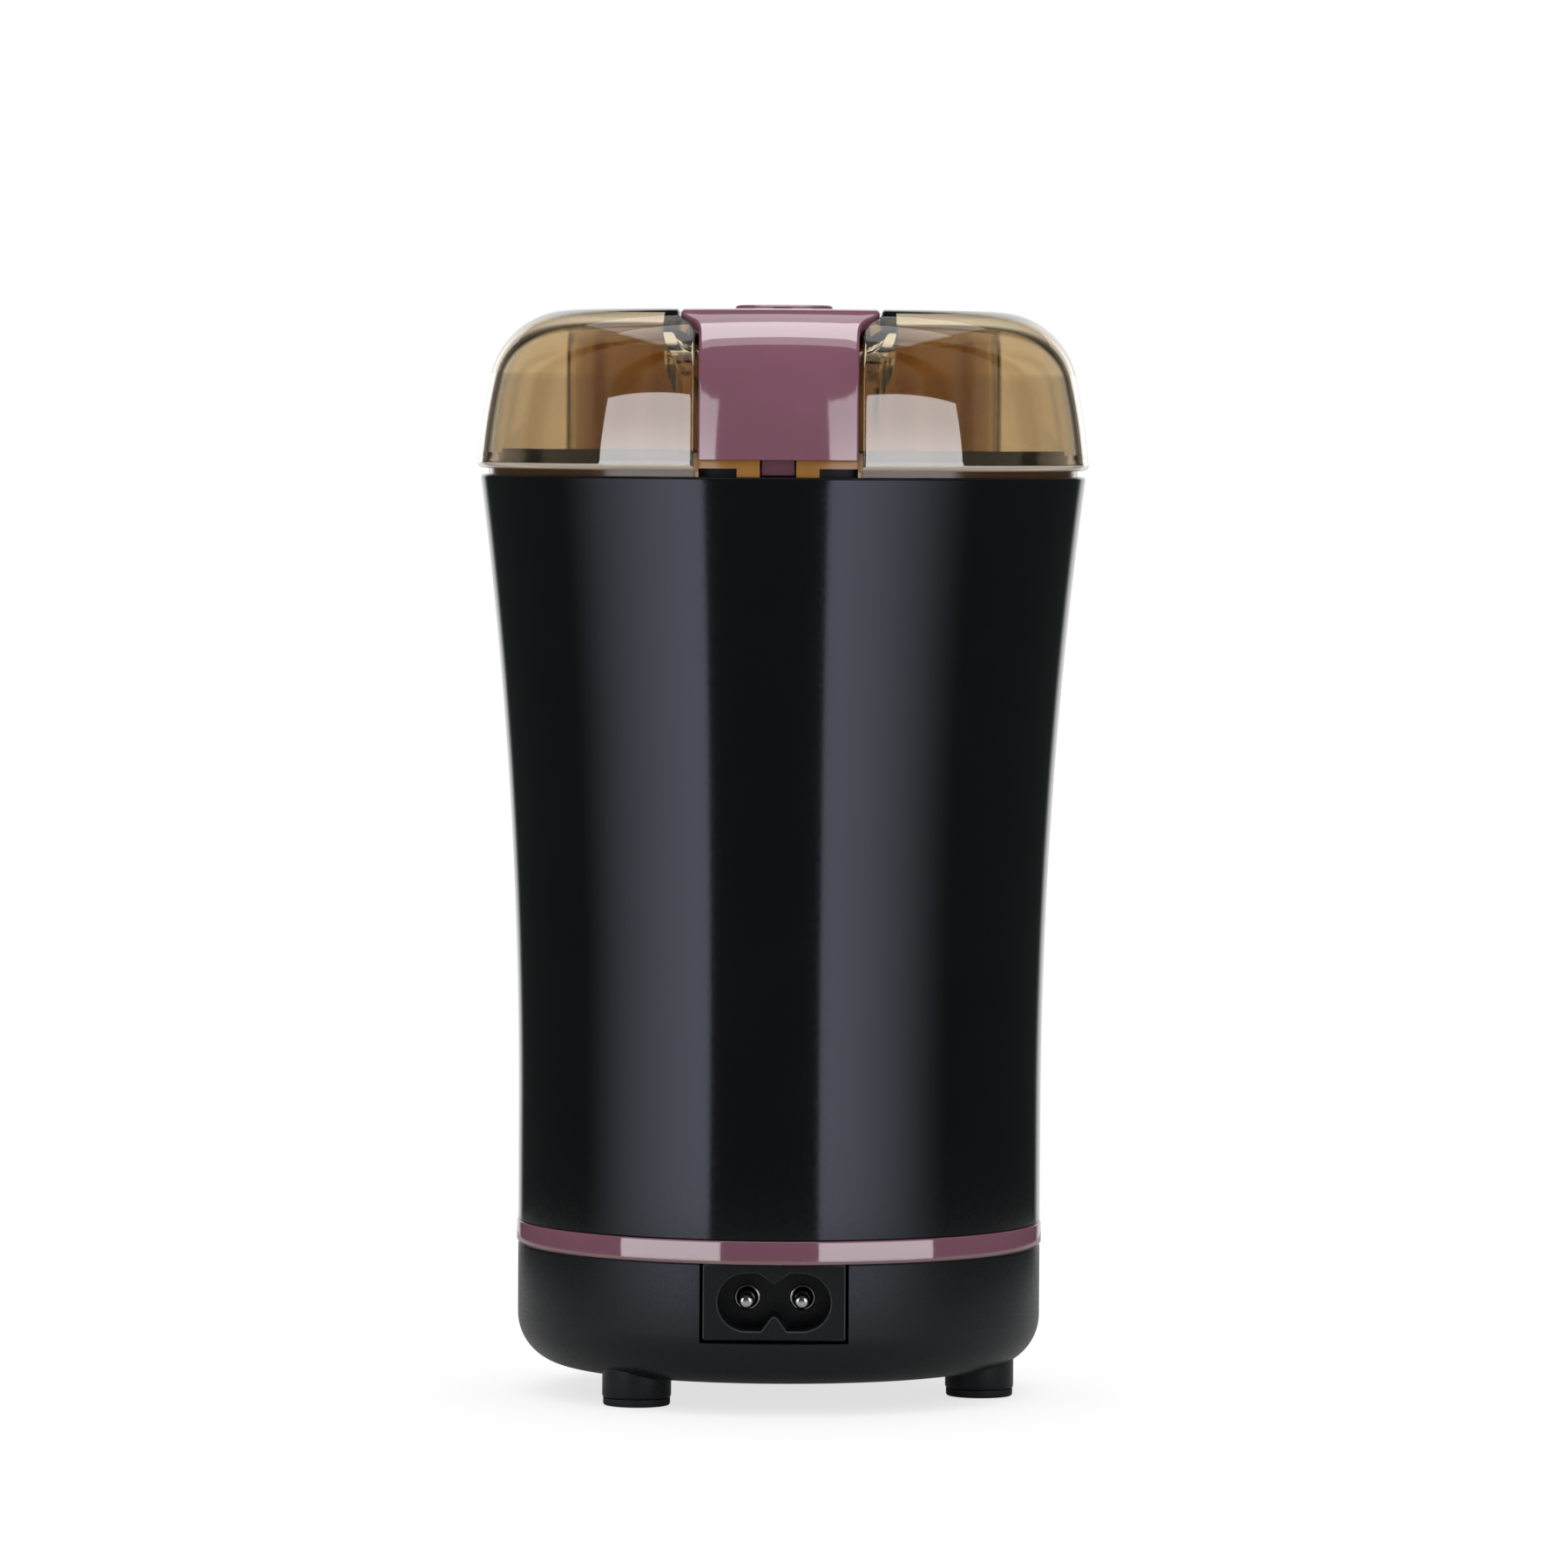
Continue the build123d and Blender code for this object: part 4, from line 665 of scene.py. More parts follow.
def outer_shell():
    bevel = SHELL_EDGE / 2
    rise = SHELL_TOP - 2 * SHELL_EDGE - FLARE_START
    heights = [RING_TOP + bevel, FLARE_START]
    heights += [FLARE_START + rise * step / SHELL_STEPS for step in range(1, SHELL_STEPS + 1)]
    outline = [(BASE_RADIUS - bevel, RING_TOP)]
    outline += [(shell_radius(height), height) for height in heights]
    last_millimetre = shell_radius(SHELL_TOP) - shell_radius(SHELL_TOP - 1)
    slope = math.atan(last_millimetre)
    rim_height = SHELL_TOP - SHELL_EDGE
    rim = (shell_radius(rim_height) - SHELL_EDGE * math.cos(slope), rim_height)
    outline += arc(rim, SHELL_EDGE, -slope, math.pi / 2, steps=6)
    outline += [(SHELL_TOP_RADIUS - SHELL_WALL, SHELL_TOP)]
    outline += [(shell_radius(height) - SHELL_WALL, height) for height in reversed(heights)]
    outline += [(BASE_RADIUS - SHELL_WALL, RING_TOP)]
    return lathe(outline)


# Mains inlet

def inlet_outline(middle):
    """Figure-8 opening with a dip in its upper edge and a ridge on its lower one, as (x, height) points."""
    side = PIN_PITCH / 2
    points = arc((side, 0), LOBE_RADIUS, -math.pi / 2, math.pi / 2, steps=16)
    points += [(DIP_WIDTH / 2, LOBE_RADIUS), (0, LOBE_RADIUS - DIP_DEPTH), (-DIP_WIDTH / 2, LOBE_RADIUS)]
    points += arc((-side, 0), LOBE_RADIUS, math.pi / 2, 3 * math.pi / 2, steps=16)
    crest = RIDGE_HEIGHT - LOBE_RADIUS
    points += [(-RIDGE_WIDTH / 2, -LOBE_RADIUS), (-RIDGE_ROUND, crest - RIDGE_ROUND / 2), (0, crest)]
    points += [(RIDGE_ROUND, crest - RIDGE_ROUND / 2), (RIDGE_WIDTH / 2, -LOBE_RADIUS)]
    return [(x, z + middle) for x, z in points]


def laid_back(made):
    """Turn an upright mesh so that its top looks along -Y."""
    quarter = Matrix.Rotation(math.radians(90), 3, "X")
    bmesh.ops.rotate(made, cent=(0, 0, 0), matrix=quarter, verts=made.verts)
    return made


def inlet_middle():
    return BASE_TOP - INLET_GAP - INLET_HEIGHT / 2


def rounded_box(half_x, half_z, radius, middle):
    """Rectangle outline with rounded corners, as (x, height) points."""
    points = []
    corners = ((1, -1, -90), (1, 1, 0), (-1, 1, 90), (-1, -1, 180))
    for sign_x, sign_z, start in corners:
        centre = (sign_x * (half_x - radius), middle + sign_z * (half_z - radius))
        points += arc(centre, radius, math.radians(start), math.radians(start + 90), steps=4)
    return points


def inlet_socket():
    middle = inlet_middle()
    front = INLET_FRONT
    plate = rounded_box(INLET_WIDTH / 2, INLET_HEIGHT / 2, INLET_EDGE, middle)
    face = widened(plate, -INLET_BEVEL)
    body = loft([(plate, front - INLET_DEPTH), (plate, front - INLET_BEVEL), (face, front)])
    opening = inlet_outline(middle)
    mouth = widened(opening, INLET_BEVEL)
    room = loft([(opening, front - CAVITY_DEPTH), (opening, front - INLET_BEVEL),
                 (mouth, front), (mouth, front + PAST)])
    return laid_back(cut(body, room))


def inlet_pins():
    middle = inlet_middle()
    pins = []
    tip = INLET_FRONT - PIN_RECESS
    cavity_back = INLET_FRONT - CAVITY_DEPTH
    round_off = PIN_RADIUS * PIN_TIP_SHARE
    for x in (-PIN_PITCH / 2, PIN_PITCH / 2):
        outline = [(0, INLET_FRONT - INLET_DEPTH), (PIN_ROOT_RADIUS, INLET_FRONT - INLET_DEPTH)]
        outline += [(PIN_ROOT_RADIUS, cavity_back), (PIN_RADIUS, cavity_back)]
        outline += arc((PIN_RADIUS - round_off, tip - round_off), round_off, 0, math.pi / 2, steps=6)
        outline += [(0, tip)]
        pins.append(laid_back(lathe(outline, closed=False, segments=48, at=(x, middle))))
        wire = arc((EYELET_RADIUS, cavity_back + EYELET_WIRE / 2), EYELET_WIRE, 0, 2 * math.pi, steps=12)[:-1]
        pins.append(laid_back(lathe(wire, segments=48, at=(x, middle))))
    return joined(pins)


# Lid and strap

def dome_profile(inset, drop):
    """Skin of the lid as (radius, height, normal radius, normal height), from its edge to the flat top."""
    top = LID_TOP - inset - drop
    corner = LID_CORNER - inset
    centre = Vector((LID_FLAT_RADIUS, top - corner))
    inward = Vector((-math.cos(LID_LEAN), -math.sin(LID_LEAN)))
    knee = centre - inward * corner
    low = Vector((LID_RADIUS - inset, LID_BOTTOM - drop))
    reach = low - knee
    side_radius = reach.length_squared / (2 * reach.dot(inward))
    side_centre = knee + inward * side_radius
    start = math.atan2(low.y - side_centre.y, low.x - side_centre.x)
    points = []
    for step in range(SIDE_STEPS):
        angle = start + (LID_LEAN - start) * step / SIDE_STEPS
        points.append((side_centre, side_radius, angle))
    for step in range(CORNER_STEPS + 1):
        angle = LID_LEAN + (math.pi / 2 - LID_LEAN) * step / CORNER_STEPS
        points.append((centre, corner, angle))
    profile = []
    for middle, radius, angle in points:
        spoke = (math.cos(angle), math.sin(angle))
        profile.append((middle.x + radius * spoke[0], middle.y + radius * spoke[1], *spoke))
    return profile


def plan_half(y, half, flare_half, reach):
    """Half width of the strap's plan at a distance from the middle."""
    swing = math.acos(1 - (flare_half - half) / (2 * STRAP_FLARE_BEND))
    run = STRAP_FLARE_BEND * math.sin(swing)
    away = abs(y)
    if away >= reach + run:
        return half
    if away <= reach - run:
        return flare_half
    if away < reach:
        return flare_half - STRAP_FLARE_BEND + math.sqrt(STRAP_FLARE_BEND ** 2 - (away - reach + run) ** 2)
    return half + STRAP_FLARE_BEND - math.sqrt(STRAP_FLARE_BEND ** 2 - (reach + run - away) ** 2)


def plan_outline(grow):
    """Outline of the strap's plan, widened all round."""
    half = STRAP_HALF + grow
    flare_half = STRAP_FLARE_HALF + grow
    reach = STRAP_FLARE_REACH + grow
    first = reach - STRAP_BEND_SPAN
    bends = [first + 2 * STRAP_BEND_SPAN * step / BEND_STEPS for step in range(BEND_STEPS + 1)]
    stations = [-FAR] + [-y for y in reversed(bends)] + bends + [FAR]
    right = [(plan_half(y, half, flare_half, reach), y) for y in stations]
    left = [(-x, y) for x, y in reversed(right)]
    return right + left


def skin_points(inset, drop, least_radius):
    return [(radius, height) for radius, height, _, _ in dome_profile(inset, drop) if radius >= least_radius]


def dome_solid(inset, drop, foot):
    points = [(0, foot), (LID_RADIUS - inset, foot)]
    points += skin_points(inset, drop, 0)
    points += [(0, points[-1][1])]
    return lathe(points, closed=False)


def hollow(inset, drop, lip_radius):
    """Cutters for the room in the lid: outside its skirt and inside it."""
    below = SKIRT_BOTTOM - 2 * PAST
    outside = [(SKIRT_OUTER, below), (lip_radius, below), (lip_radius, LIP_TOP)]
    outside += [point for point in skin_points(inset, drop, SKIRT_OUTER) if point[1] > LIP_TOP]
    ceiling = LID_TOP - inset - drop
    outside += [(SKIRT_OUTER, outside[-1][1])]
    inside = [(0, below), (SKIRT_INNER, below), (SKIRT_INNER, ceiling), (0, ceiling)]
    return lathe(outside), lathe(inside, closed=False)


def lid_dome():
    points = [(0, SKIRT_BOTTOM), (SKIRT_OUTER, SKIRT_BOTTOM), (SKIRT_OUTER, SHELL_TOP)]
    points += [(LIP_OUTER, SHELL_TOP), (LIP_OUTER, LID_FOOT)]
    points += arc((LID_RADIUS - LID_EDGE, LID_FOOT + LID_EDGE), LID_EDGE, -math.pi / 2, 0, steps=8)
    skin_start = LID_FOOT + 1.5 * LID_EDGE
    points += [point for point in skin_points(0, 0, 0) if point[1] > skin_start]
    points += [(0, LID_TOP)]
    body = lathe(points, closed=False)
    side = CHANNEL_GAP + CHANNEL_SIDE_WALL
    outside, inside = hollow(LID_WALL, 0, LIP_INNER)
    body = cut(body, cut(outside, prism(plan_outline(side), 0, 2 * LID_TOP)))
    body = cut(body, cut(inside, prism(plan_outline(side), 0, 2 * LID_TOP)))
    outside, inside = hollow(CHANNEL_INSET + CHANNEL_WALL, CHANNEL_DROP, LIP_INNER + HAIR)
    body = cut(body, cut(outside, joined(cups(CUP_RADIUS, CUP_FLOOR - CUP_FLOOR_WALL))))
    body = cut(body, inside)
    room = swept(skin_rows(LID_BOTTOM - CHANNEL_REACH), channel_section, CHANNEL_GAP, CHANNEL_GAP)
    body = cut(body, cut(room, dome_solid(CHANNEL_INSET, CHANNEL_DROP, -PAST)))
    body = cut(body, joined(cups(CUP_BORE, CUP_FLOOR)))
    body = cut(body, joined(cups(CUP_HOLE, CUP_FLOOR - 2 * CUP_FLOOR_WALL, 40)))
    return cut(body, joined(lip_cuts()))


def cups(radius, bottom, segments=48):
    top = LID_TOP + PAST
    items = []
    for y in (-CUP_CIRCLE, CUP_CIRCLE):
        outline = [(0, bottom), (radius, bottom), (radius, top), (0, top)]
        items.append(lathe(outline, closed=False, segments=segments, at=(0, y)))
    return items


def lip_cuts():
    """Room for the tongue, and the notches in the lip on each side of it."""
    half = TONGUE_HALF + TONGUE_GAP
    bottom = SHELL_TOP - PAST
    cuts = [block(-half, half, -FAR, -TONGUE_BACK, bottom, STRAP_BOTTOM + TONGUE_ROOT + TONGUE_GAP)]
    start = NOTCH_BLOCK / 2
    for sign in (-1, 1):
        x0, x1 = sorted((sign * start, sign * (start + NOTCH_WIDTH)))
        cuts.append(block(x0, x1, -FAR, -SKIRT_OUTER - NOTCH_CLEAR, bottom, SHELL_TOP + NOTCH_HEIGHT))
    return cuts


def strap_section(half):
    """Closed outline across the strap: (x, depth below the skin), with rounded upper edges."""
    edge = STRAP_EDGE
    right = []
    across = 8
    for step in range(across + 1):
        right.append(((half - edge) * step / across, 0))
    for x, up in arc((half - edge, -edge), edge, math.pi / 2, 0, steps=4)[1:]:
        right.append((x, -up))
    right.append((half, STRAP_THICKNESS))
    for step in range(across - 1, -1, -1):
        right.append(((half - edge) * step / across, STRAP_THICKNESS))
    left = [(-x, depth) for x, depth in reversed(right[1:-1])]
    return right + left


def channel_section(half):
    """Closed outline across the strap's channel: deep straight sides that roll over into the skin."""
    roll = CHANNEL_ROLL
    right = []
    across = 6
    for step in range(across + 1):
        right.append(((half + roll) * step / across, -roll / 4))
    for step in range(ROLL_STEPS + 1):
        angle = math.pi / 2 * step / ROLL_STEPS
        right.append((half + roll - roll * math.sin(angle), roll - roll * math.cos(angle)))
    right.append((half, CHANNEL_REACH))
    right.append((0, CHANNEL_REACH))
    left = [(-x, depth) for x, depth in reversed(right[1:-1])]
    return right + left


def skin_rows(bottom):
    """Stations of the skin from a height on one side, over the top, to the other.

    Each is the sign of its side, its radius and height, and the two parts of its normal.
    """
    skin = dome_profile(0, 0)
    if bottom < skin[0][1]:
        climb = [(skin[0][0], bottom, *skin[0][2:])] + skin
    else:
        above = [row for row in skin if row[1] > bottom]
        below = [row for row in skin if row[1] <= bottom][-1]
        share = (bottom - below[1]) / (above[0][1] - below[1])
        climb = [tuple(below[part] + (above[0][part] - below[part]) * share for part in range(4))] + above
    flat = [(radius, LID_TOP, 0.0, 1.0) for radius in FLAT_STATIONS]
    side = [(-1, *row) for row in climb + flat]
    return side + [(0, 0.0, LID_TOP, 0.0, 1.0)] + [(1, *row[1:]) for row in reversed(side)]


def swept(rows, section, grow, flare_grow):
    """Mesh swept over the lid's skin along the strap's plan, widened in its narrow and its wide part."""
    made = bmesh.new()
    plan = (STRAP_HALF + grow, STRAP_FLARE_HALF + flare_grow, STRAP_FLARE_REACH + grow)
    loops = []
    for sign, radius, height, out, up in rows:
        y_edge = radius
        for _ in range(EDGE_ROUNDS):
            half = plan_half(y_edge, *plan)
            y_edge = math.sqrt(max(radius ** 2 - half ** 2, 0))
        loop = []
        for x, depth in section(half):
            ring = radius - out * depth
            y = sign * math.sqrt(max(ring ** 2 - x ** 2, 0))
            loop.append(made.verts.new((x, y, height - up * depth)))
        loops.append(loop)
    bridge(made, loops)
    made.faces.new(loops[0])
    made.faces.new(loops[-1])
    bmesh.ops.recalc_face_normals(made, faces=made.faces)
    return made


def press_strap():
    made = swept(skin_rows(STRAP_BOTTOM), strap_section, 0, STRAP_FLARE_GROW)
    bump_bottom = LID_TOP - STRAP_THICKNESS / 2
    bump_top = LID_TOP + BUMP_HEIGHT
    outline = [(0, bump_bottom), (BUMP_RADIUS, bump_bottom)]
    outline += arc((BUMP_RADIUS - BUMP_EDGE, bump_top - BUMP_EDGE), BUMP_EDGE, 0, math.pi / 2, steps=5)
    outline += [(0, bump_top)]
    extras = [lathe(outline, closed=False, segments=96)]
    tongue_top = STRAP_BOTTOM + TONGUE_ROOT
    extras.append(block(-TONGUE_HALF, TONGUE_HALF, -TONGUE_FRONT, -TONGUE_BACK, TONGUE_BOTTOM, tongue_top))
    extras.append(block(-TONGUE_HALF + HAIR, TONGUE_HALF - HAIR, -TONGUE_FRONT - STRAP_THICKNESS,
                        -TONGUE_FRONT + TONGUE_OVERLAP, STRAP_BOTTOM + HAIR, tongue_top - HAIR))
    pad_top = LID_TOP - 2 * STRAP_THICKNESS - PAD_POST_DROP
    for y in (-CUP_CIRCLE, CUP_CIRCLE):
        outline = [(0, POST_BOTTOM), (POST_RADIUS, POST_BOTTOM), (POST_RADIUS, SPRING_TOP)]
        outline += [(PAD_POST_RADIUS, SPRING_TOP), (PAD_POST_RADIUS, pad_top), (0, pad_top)]
        extras.append(lathe(outline, closed=False, segments=48, at=(0, y)))
    for extra in extras:
        made = combine(made, extra, "UNION")
    return made


def grinding_bowl():
    outer = BOWL_RADIUS + BOWL_WALL
    flat = BOWL_RADIUS - BOWL_CORNER
    corner = BOWL_FLOOR + BOWL_CORNER
    quarter = math.pi / 2
    outline = [(BOWL_BORE, BOWL_FLOOR - BOWL_WALL)]
    outline += arc((flat, corner), BOWL_CORNER + BOWL_WALL, -quarter, 0, steps=16)
    outline += [(outer, BOWL_RIM - BOWL_WALL), (outer + BOWL_FLANGE, BOWL_RIM - BOWL_WALL)]
    outline += [(outer + BOWL_FLANGE, BOWL_RIM)]
    outline += arc((BOWL_RADIUS + BOWL_LIP, BOWL_RIM - BOWL_LIP), BOWL_LIP, quarter, 2 * quarter, steps=6)
    outline += arc((flat, corner), BOWL_CORNER, 0, -quarter, steps=16)
    outline += [(BOWL_BORE, BOWL_FLOOR)]
    return lathe(outline)


# Springs

def coil(radius, turns, bottom, top, at):
    """Helical spring of round wire between two heights, with closed ends."""
    made = bmesh.new()
    steps = COIL_STEPS * turns
    loops = []
    for step in range(steps + 1):
        share = step / steps
        angle = 2 * math.pi * turns * share
        spoke = Vector((math.cos(angle), math.sin(angle), 0))
        height = bottom + SPRING_WIRE / 2 + (top - bottom - SPRING_WIRE) * share
        middle = Vector((*at, height)) + spoke * radius
        loop = []
        for out, up in arc((0, 0), SPRING_WIRE / 2, 0, 2 * math.pi, WIRE_STEPS)[:-1]:
            loop.append(made.verts.new(middle + spoke * out + Vector((0, 0, up))))
        loops.append(loop)
    bridge(made, loops)
    made.faces.new(loops[0])
    made.faces.new(loops[-1])
    bmesh.ops.recalc_face_normals(made, faces=made.faces)
    return made


def add_spring(node, body, radius, turns, places, bottom, top):
    """Spring that rides on one body, coiled between two heights."""
    made = joined([coil(radius, turns, bottom, top, place) for place in places])
    spring = piece(node + "_skin", made, body, [node], "spring_steel")
    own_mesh(spring)


def add_springs():
    cup_places = [(0, -CUP_CIRCLE), (0, CUP_CIRCLE)]
    add_spring("strap_springs", "lid", STRAP_SPRING_RADIUS, STRAP_SPRING_TURNS, cup_places,
               CUP_FLOOR, SPRING_TOP)
    low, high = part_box("rod_spring")
    rod_place = ((low.x + high.x) / 2 / MM, (low.y + high.y) / 2 / MM)
    add_spring("rod_spring", "housing", ROD_SPRING_RADIUS, ROD_SPRING_TURNS, [rod_place],
               low.z / MM, high.z / MM)


# Own materials of faces, told apart by their place and by the way they look: painted light on the lid's edge,
# the strap's channel and bevelled edges, and a darker skirt and a coated side on the lid

WALL_FACING = 0.8
WALL_SLACK = 0.2
WALL_REACH = 3.0
FLOOR_FACING = 0.7
FLOOR_SLACK = 0.1
LIP_SLACK = 0.2
LIP_RISE = 0.3
SKIRT_SLACK = 0.6
SKIRT_TILT = 0.5
SIDE_FACING = 0.9
# Slopes of the normals that get a painted highlight: the ring's lower bevel and the inlet's front bevels.
RING_HIGHLIGHT_SLOPE = (-0.9, -0.3)
INLET_HIGHLIGHT_SLOPE = (-0.97, -0.2)


def outward(polygon, middle):
    """How much a face looks away from the axis, times its distance from it."""
    return polygon.normal.x * middle.x + polygon.normal.y * middle.y


def beside(polygon, middle):
    """Deep walls on each side of the strap, which get painted shade."""
    nearest = STRAP_HALF + CHANNEL_GAP - WALL_SLACK
    return abs(polygon.normal.x) > WALL_FACING and nearest < abs(middle.x) < STRAP_FLARE_HALF + WALL_REACH


def beneath(polygon, middle, ring):
    """Floor of the channel, under the strap, which gets painted shade."""
    out = outward(polygon, middle) / ring + polygon.normal.z
    return abs(middle.x) < STRAP_HALF + CHANNEL_GAP + FLOOR_SLACK and out > FLOOR_FACING


def dress_lid(lid):
    """Own materials for the lid's lower edge and lip (painted glow, shade and highlight), the strap's channel
    (painted shade), the skirt (a darker tint) and the outer side (a gloss coat).
    """
    lid.data.materials.append(smoke_edge_painted_light())
    lid.data.materials.append(smoke_plastic("smoke_wall_painted_shade", *SMOKE_WALL_PAINTED_SHADE))
    lid.data.materials.append(smoke_plastic("smoke_skirt", *SMOKE_SKIRT))
    lid.data.materials.append(smoke_plastic("smoke_side", *SMOKE, coat=1.0))
    wall = STRAP_HALF + CHANNEL_GAP
    for polygon in lid.data.polygons:
        middle = polygon.center / MM
        ring = math.hypot(middle.x, middle.y)
        lowest = min(lid.data.vertices[index].co.z for index in polygon.vertices) / MM
        under = abs(middle.x) < wall and lowest < STRAP_BOTTOM + LIP_RISE
        near_skirt = SKIRT_INNER - SKIRT_SLACK < ring < SKIRT_OUTER + SKIRT_SLACK
        # Lower edge and lip: painted glow, shade and highlight.
        if ring > LIP_INNER + LIP_SLACK and (under or middle.z < LID_FOOT + LID_EDGE):
            polygon.material_index = 1
        # Walls and floor of the strap's channel: painted shade.
        elif ring > SKIRT_OUTER + SKIRT_SLACK and (beside(polygon, middle) or beneath(polygon, middle, ring)):
            polygon.material_index = 2
        elif near_skirt and abs(polygon.normal.z) < SKIRT_TILT:
            polygon.material_index = 3
        elif middle.z < LID_KNEE and outward(polygon, middle) > SIDE_FACING * ring:
            polygon.material_index = 4


def paint_slope_highlight(thing, material, axis, slope):
    """Painted highlight: own lighter material for the small sloping faces along a piece's edges, by one part
    of their normal.
    """
    low, high = slope
    thing.data.materials.append(material)
    for polygon in thing.data.polygons:
        if low < polygon.normal[axis] < high:
            polygon.material_index = 1


# Camera, light and floor, in metres; a lamp's ends are azimuths from the camera's side with distances

CAMERA_DISTANCE = 1.463
CAMERA_HEIGHT = 0.155
CAMERA_AZIMUTH = math.radians(1.0)
CAMERA_ROLL = math.radians(0.33)
CAMERA_TARGET = Vector((0.0004, 0, 0.0963))
CAMERA_LENS = 212
SENSOR_WIDTH = 36
BOX_LOW = -0.6
BOX_HIGH = 0.55
BOX_COLOUR = (1.0, 0.98, 0.98)
GLOW_COLOUR = (0.76, 0.82, 1.0)
SIDE_FADE = (0.03, 0.88)
RISE_FADE = (0.72, 0.95)
RISE_LEVEL = 0.65
TOP_WIDTH = 1.4
TOP_HEIGHT = 1.25
STRIP_HEIGHT = 1.2
LEFT_BOX = ((-24, 1.1), (-71, 1.33))
RIGHT_BOX = ((18, 1.1), (71, 1.36))
LEFT_RIM = ((-164, 1.3), (-154, 1.3))
RIGHT_RIM = ((164, 1.3), (154, 1.3))
LEFT_GLOW = ((-29, 1.1), (-99, 1.3))
RIGHT_GLOW = ((18, 1.1), (85, 1.3))
LID_RADIANCE = 3.6
RIM_RADIANCE = 0.75
PLUM_RADIANCE = 2.2
GLOW_RADIANCE = 2.4
BACKDROP_EDGE = math.cos(math.radians(24))
BACKDROP_FULL = math.cos(math.radians(17))
GLOSS_DIM = 0.03
SOFT_LIGHT = 0.85
WORLD_STRIPES = 8
STRIPE_DARK = 0.06
STRIPE_EDGES = (-0.9, -0.45)
FLOOR_RADIUS = 0.32
FLOOR_GREY = 0.32
FLOOR_GLOW = 0.72
FLOOR_SHARES = (("Is Glossy Ray", 0.15), ("Is Transmission Ray", 1.0))


def add_camera():
    data = bpy.data.cameras.new("camera")
    data.lens = CAMERA_LENS
    data.sensor_width = SENSOR_WIDTH
    camera = linked("camera", data)
    across = CAMERA_DISTANCE * math.sin(CAMERA_AZIMUTH)
    back = CAMERA_DISTANCE * math.cos(CAMERA_AZIMUTH)
    camera.location = (across, -back, CAMERA_HEIGHT)
    look = (CAMERA_TARGET - camera.location).to_track_quat("-Z", "Y").to_matrix()
    roll = Matrix.Rotation(CAMERA_ROLL, 3, "Z")
    camera.rotation_euler = (look @ roll).to_euler()
    bpy.context.scene.camera = camera


def panel(name, width, length, radiance):
    """Rectangular lamp that the camera and the see-through pieces don't show."""
    data = bpy.data.lights.new(name, "AREA")
    data.shape = "RECTANGLE"
    data.size = width
    data.size_y = length
    data.energy = radiance * math.pi * width * length
    lamp = linked(name, data)
    lamp.visible_camera = False
    lamp.visible_transmission = False
    return lamp


def add_softbox(name, inner, outer, radiance, colour, fades=False):
    """Tall lamp panel between two ends, for the gloss alone.

    One that fades is bright at its inner edge and dark at its outer edge, and any other dims a little
    towards its top.
    """
    middle = (BOX_LOW + BOX_HIGH) / 2
    ends = []
    for azimuth, distance in (inner, outer):
        angle = math.radians(azimuth)
        ends.append(Vector((distance * math.sin(angle), -distance * math.cos(angle), middle)))
    lamp = panel(name, (ends[1] - ends[0]).length, BOX_HIGH - BOX_LOW, radiance)
    lamp.visible_diffuse = False
    lamp.data.color = colour
    lamp.location = (ends[0] + ends[1]) / 2
    along = (ends[1] - ends[0]).normalized()
    facing = Vector((0, 0, 1)).cross(along)
    if facing.dot(lamp.location) > 0:
        facing = -facing
    turn = facing.to_track_quat("-Z", "Y")
    lamp.rotation_euler = turn.to_euler()
    if not fades:
        fade(lamp.data, "Y", RISE_FADE, (1.0, RISE_LEVEL))
    elif (turn @ Vector((1, 0, 0))).dot(along) > 0:
        fade(lamp.data, "X", SIDE_FADE, (1.0, 0.0))
    else:
        fade(lamp.data, "X", (1 - SIDE_FADE[1], 1 - SIDE_FADE[0]), (0.0, 1.0))
    return lamp


def fade(data, side, places, levels):
    """Vary a lamp panel's strength along one of its sides, between two places on it."""
    data.use_nodes = True
    tree = data.node_tree
    place = axes(tree, "ShaderNodeNewGeometry", "Parametric")
    level = span(tree, place[side], *places, *levels, curve="SMOOTHSTEP")
    tree.links.new(level, tree.nodes["Emission"].inputs["Strength"])


def light_some(lamp, things, state):
    """Light some things alone (INCLUDE), or everything but them (EXCLUDE)."""
    group = bpy.data.collections.new(lamp.name + "_group")
    for thing in things:
        group.objects.link(thing)
    for member in group.collection_objects:
        member.light_linking.link_state = state
    lamp.light_linking.receiver_collection = group


def add_overhead(name, radiance, length, shift, height):
    """Level lamp panel over the object, of some length in depth, shifted from above it to behind it."""
    lamp = panel(name, TOP_WIDTH, length, radiance)
    lamp.location = (0, shift, height)
    return lamp


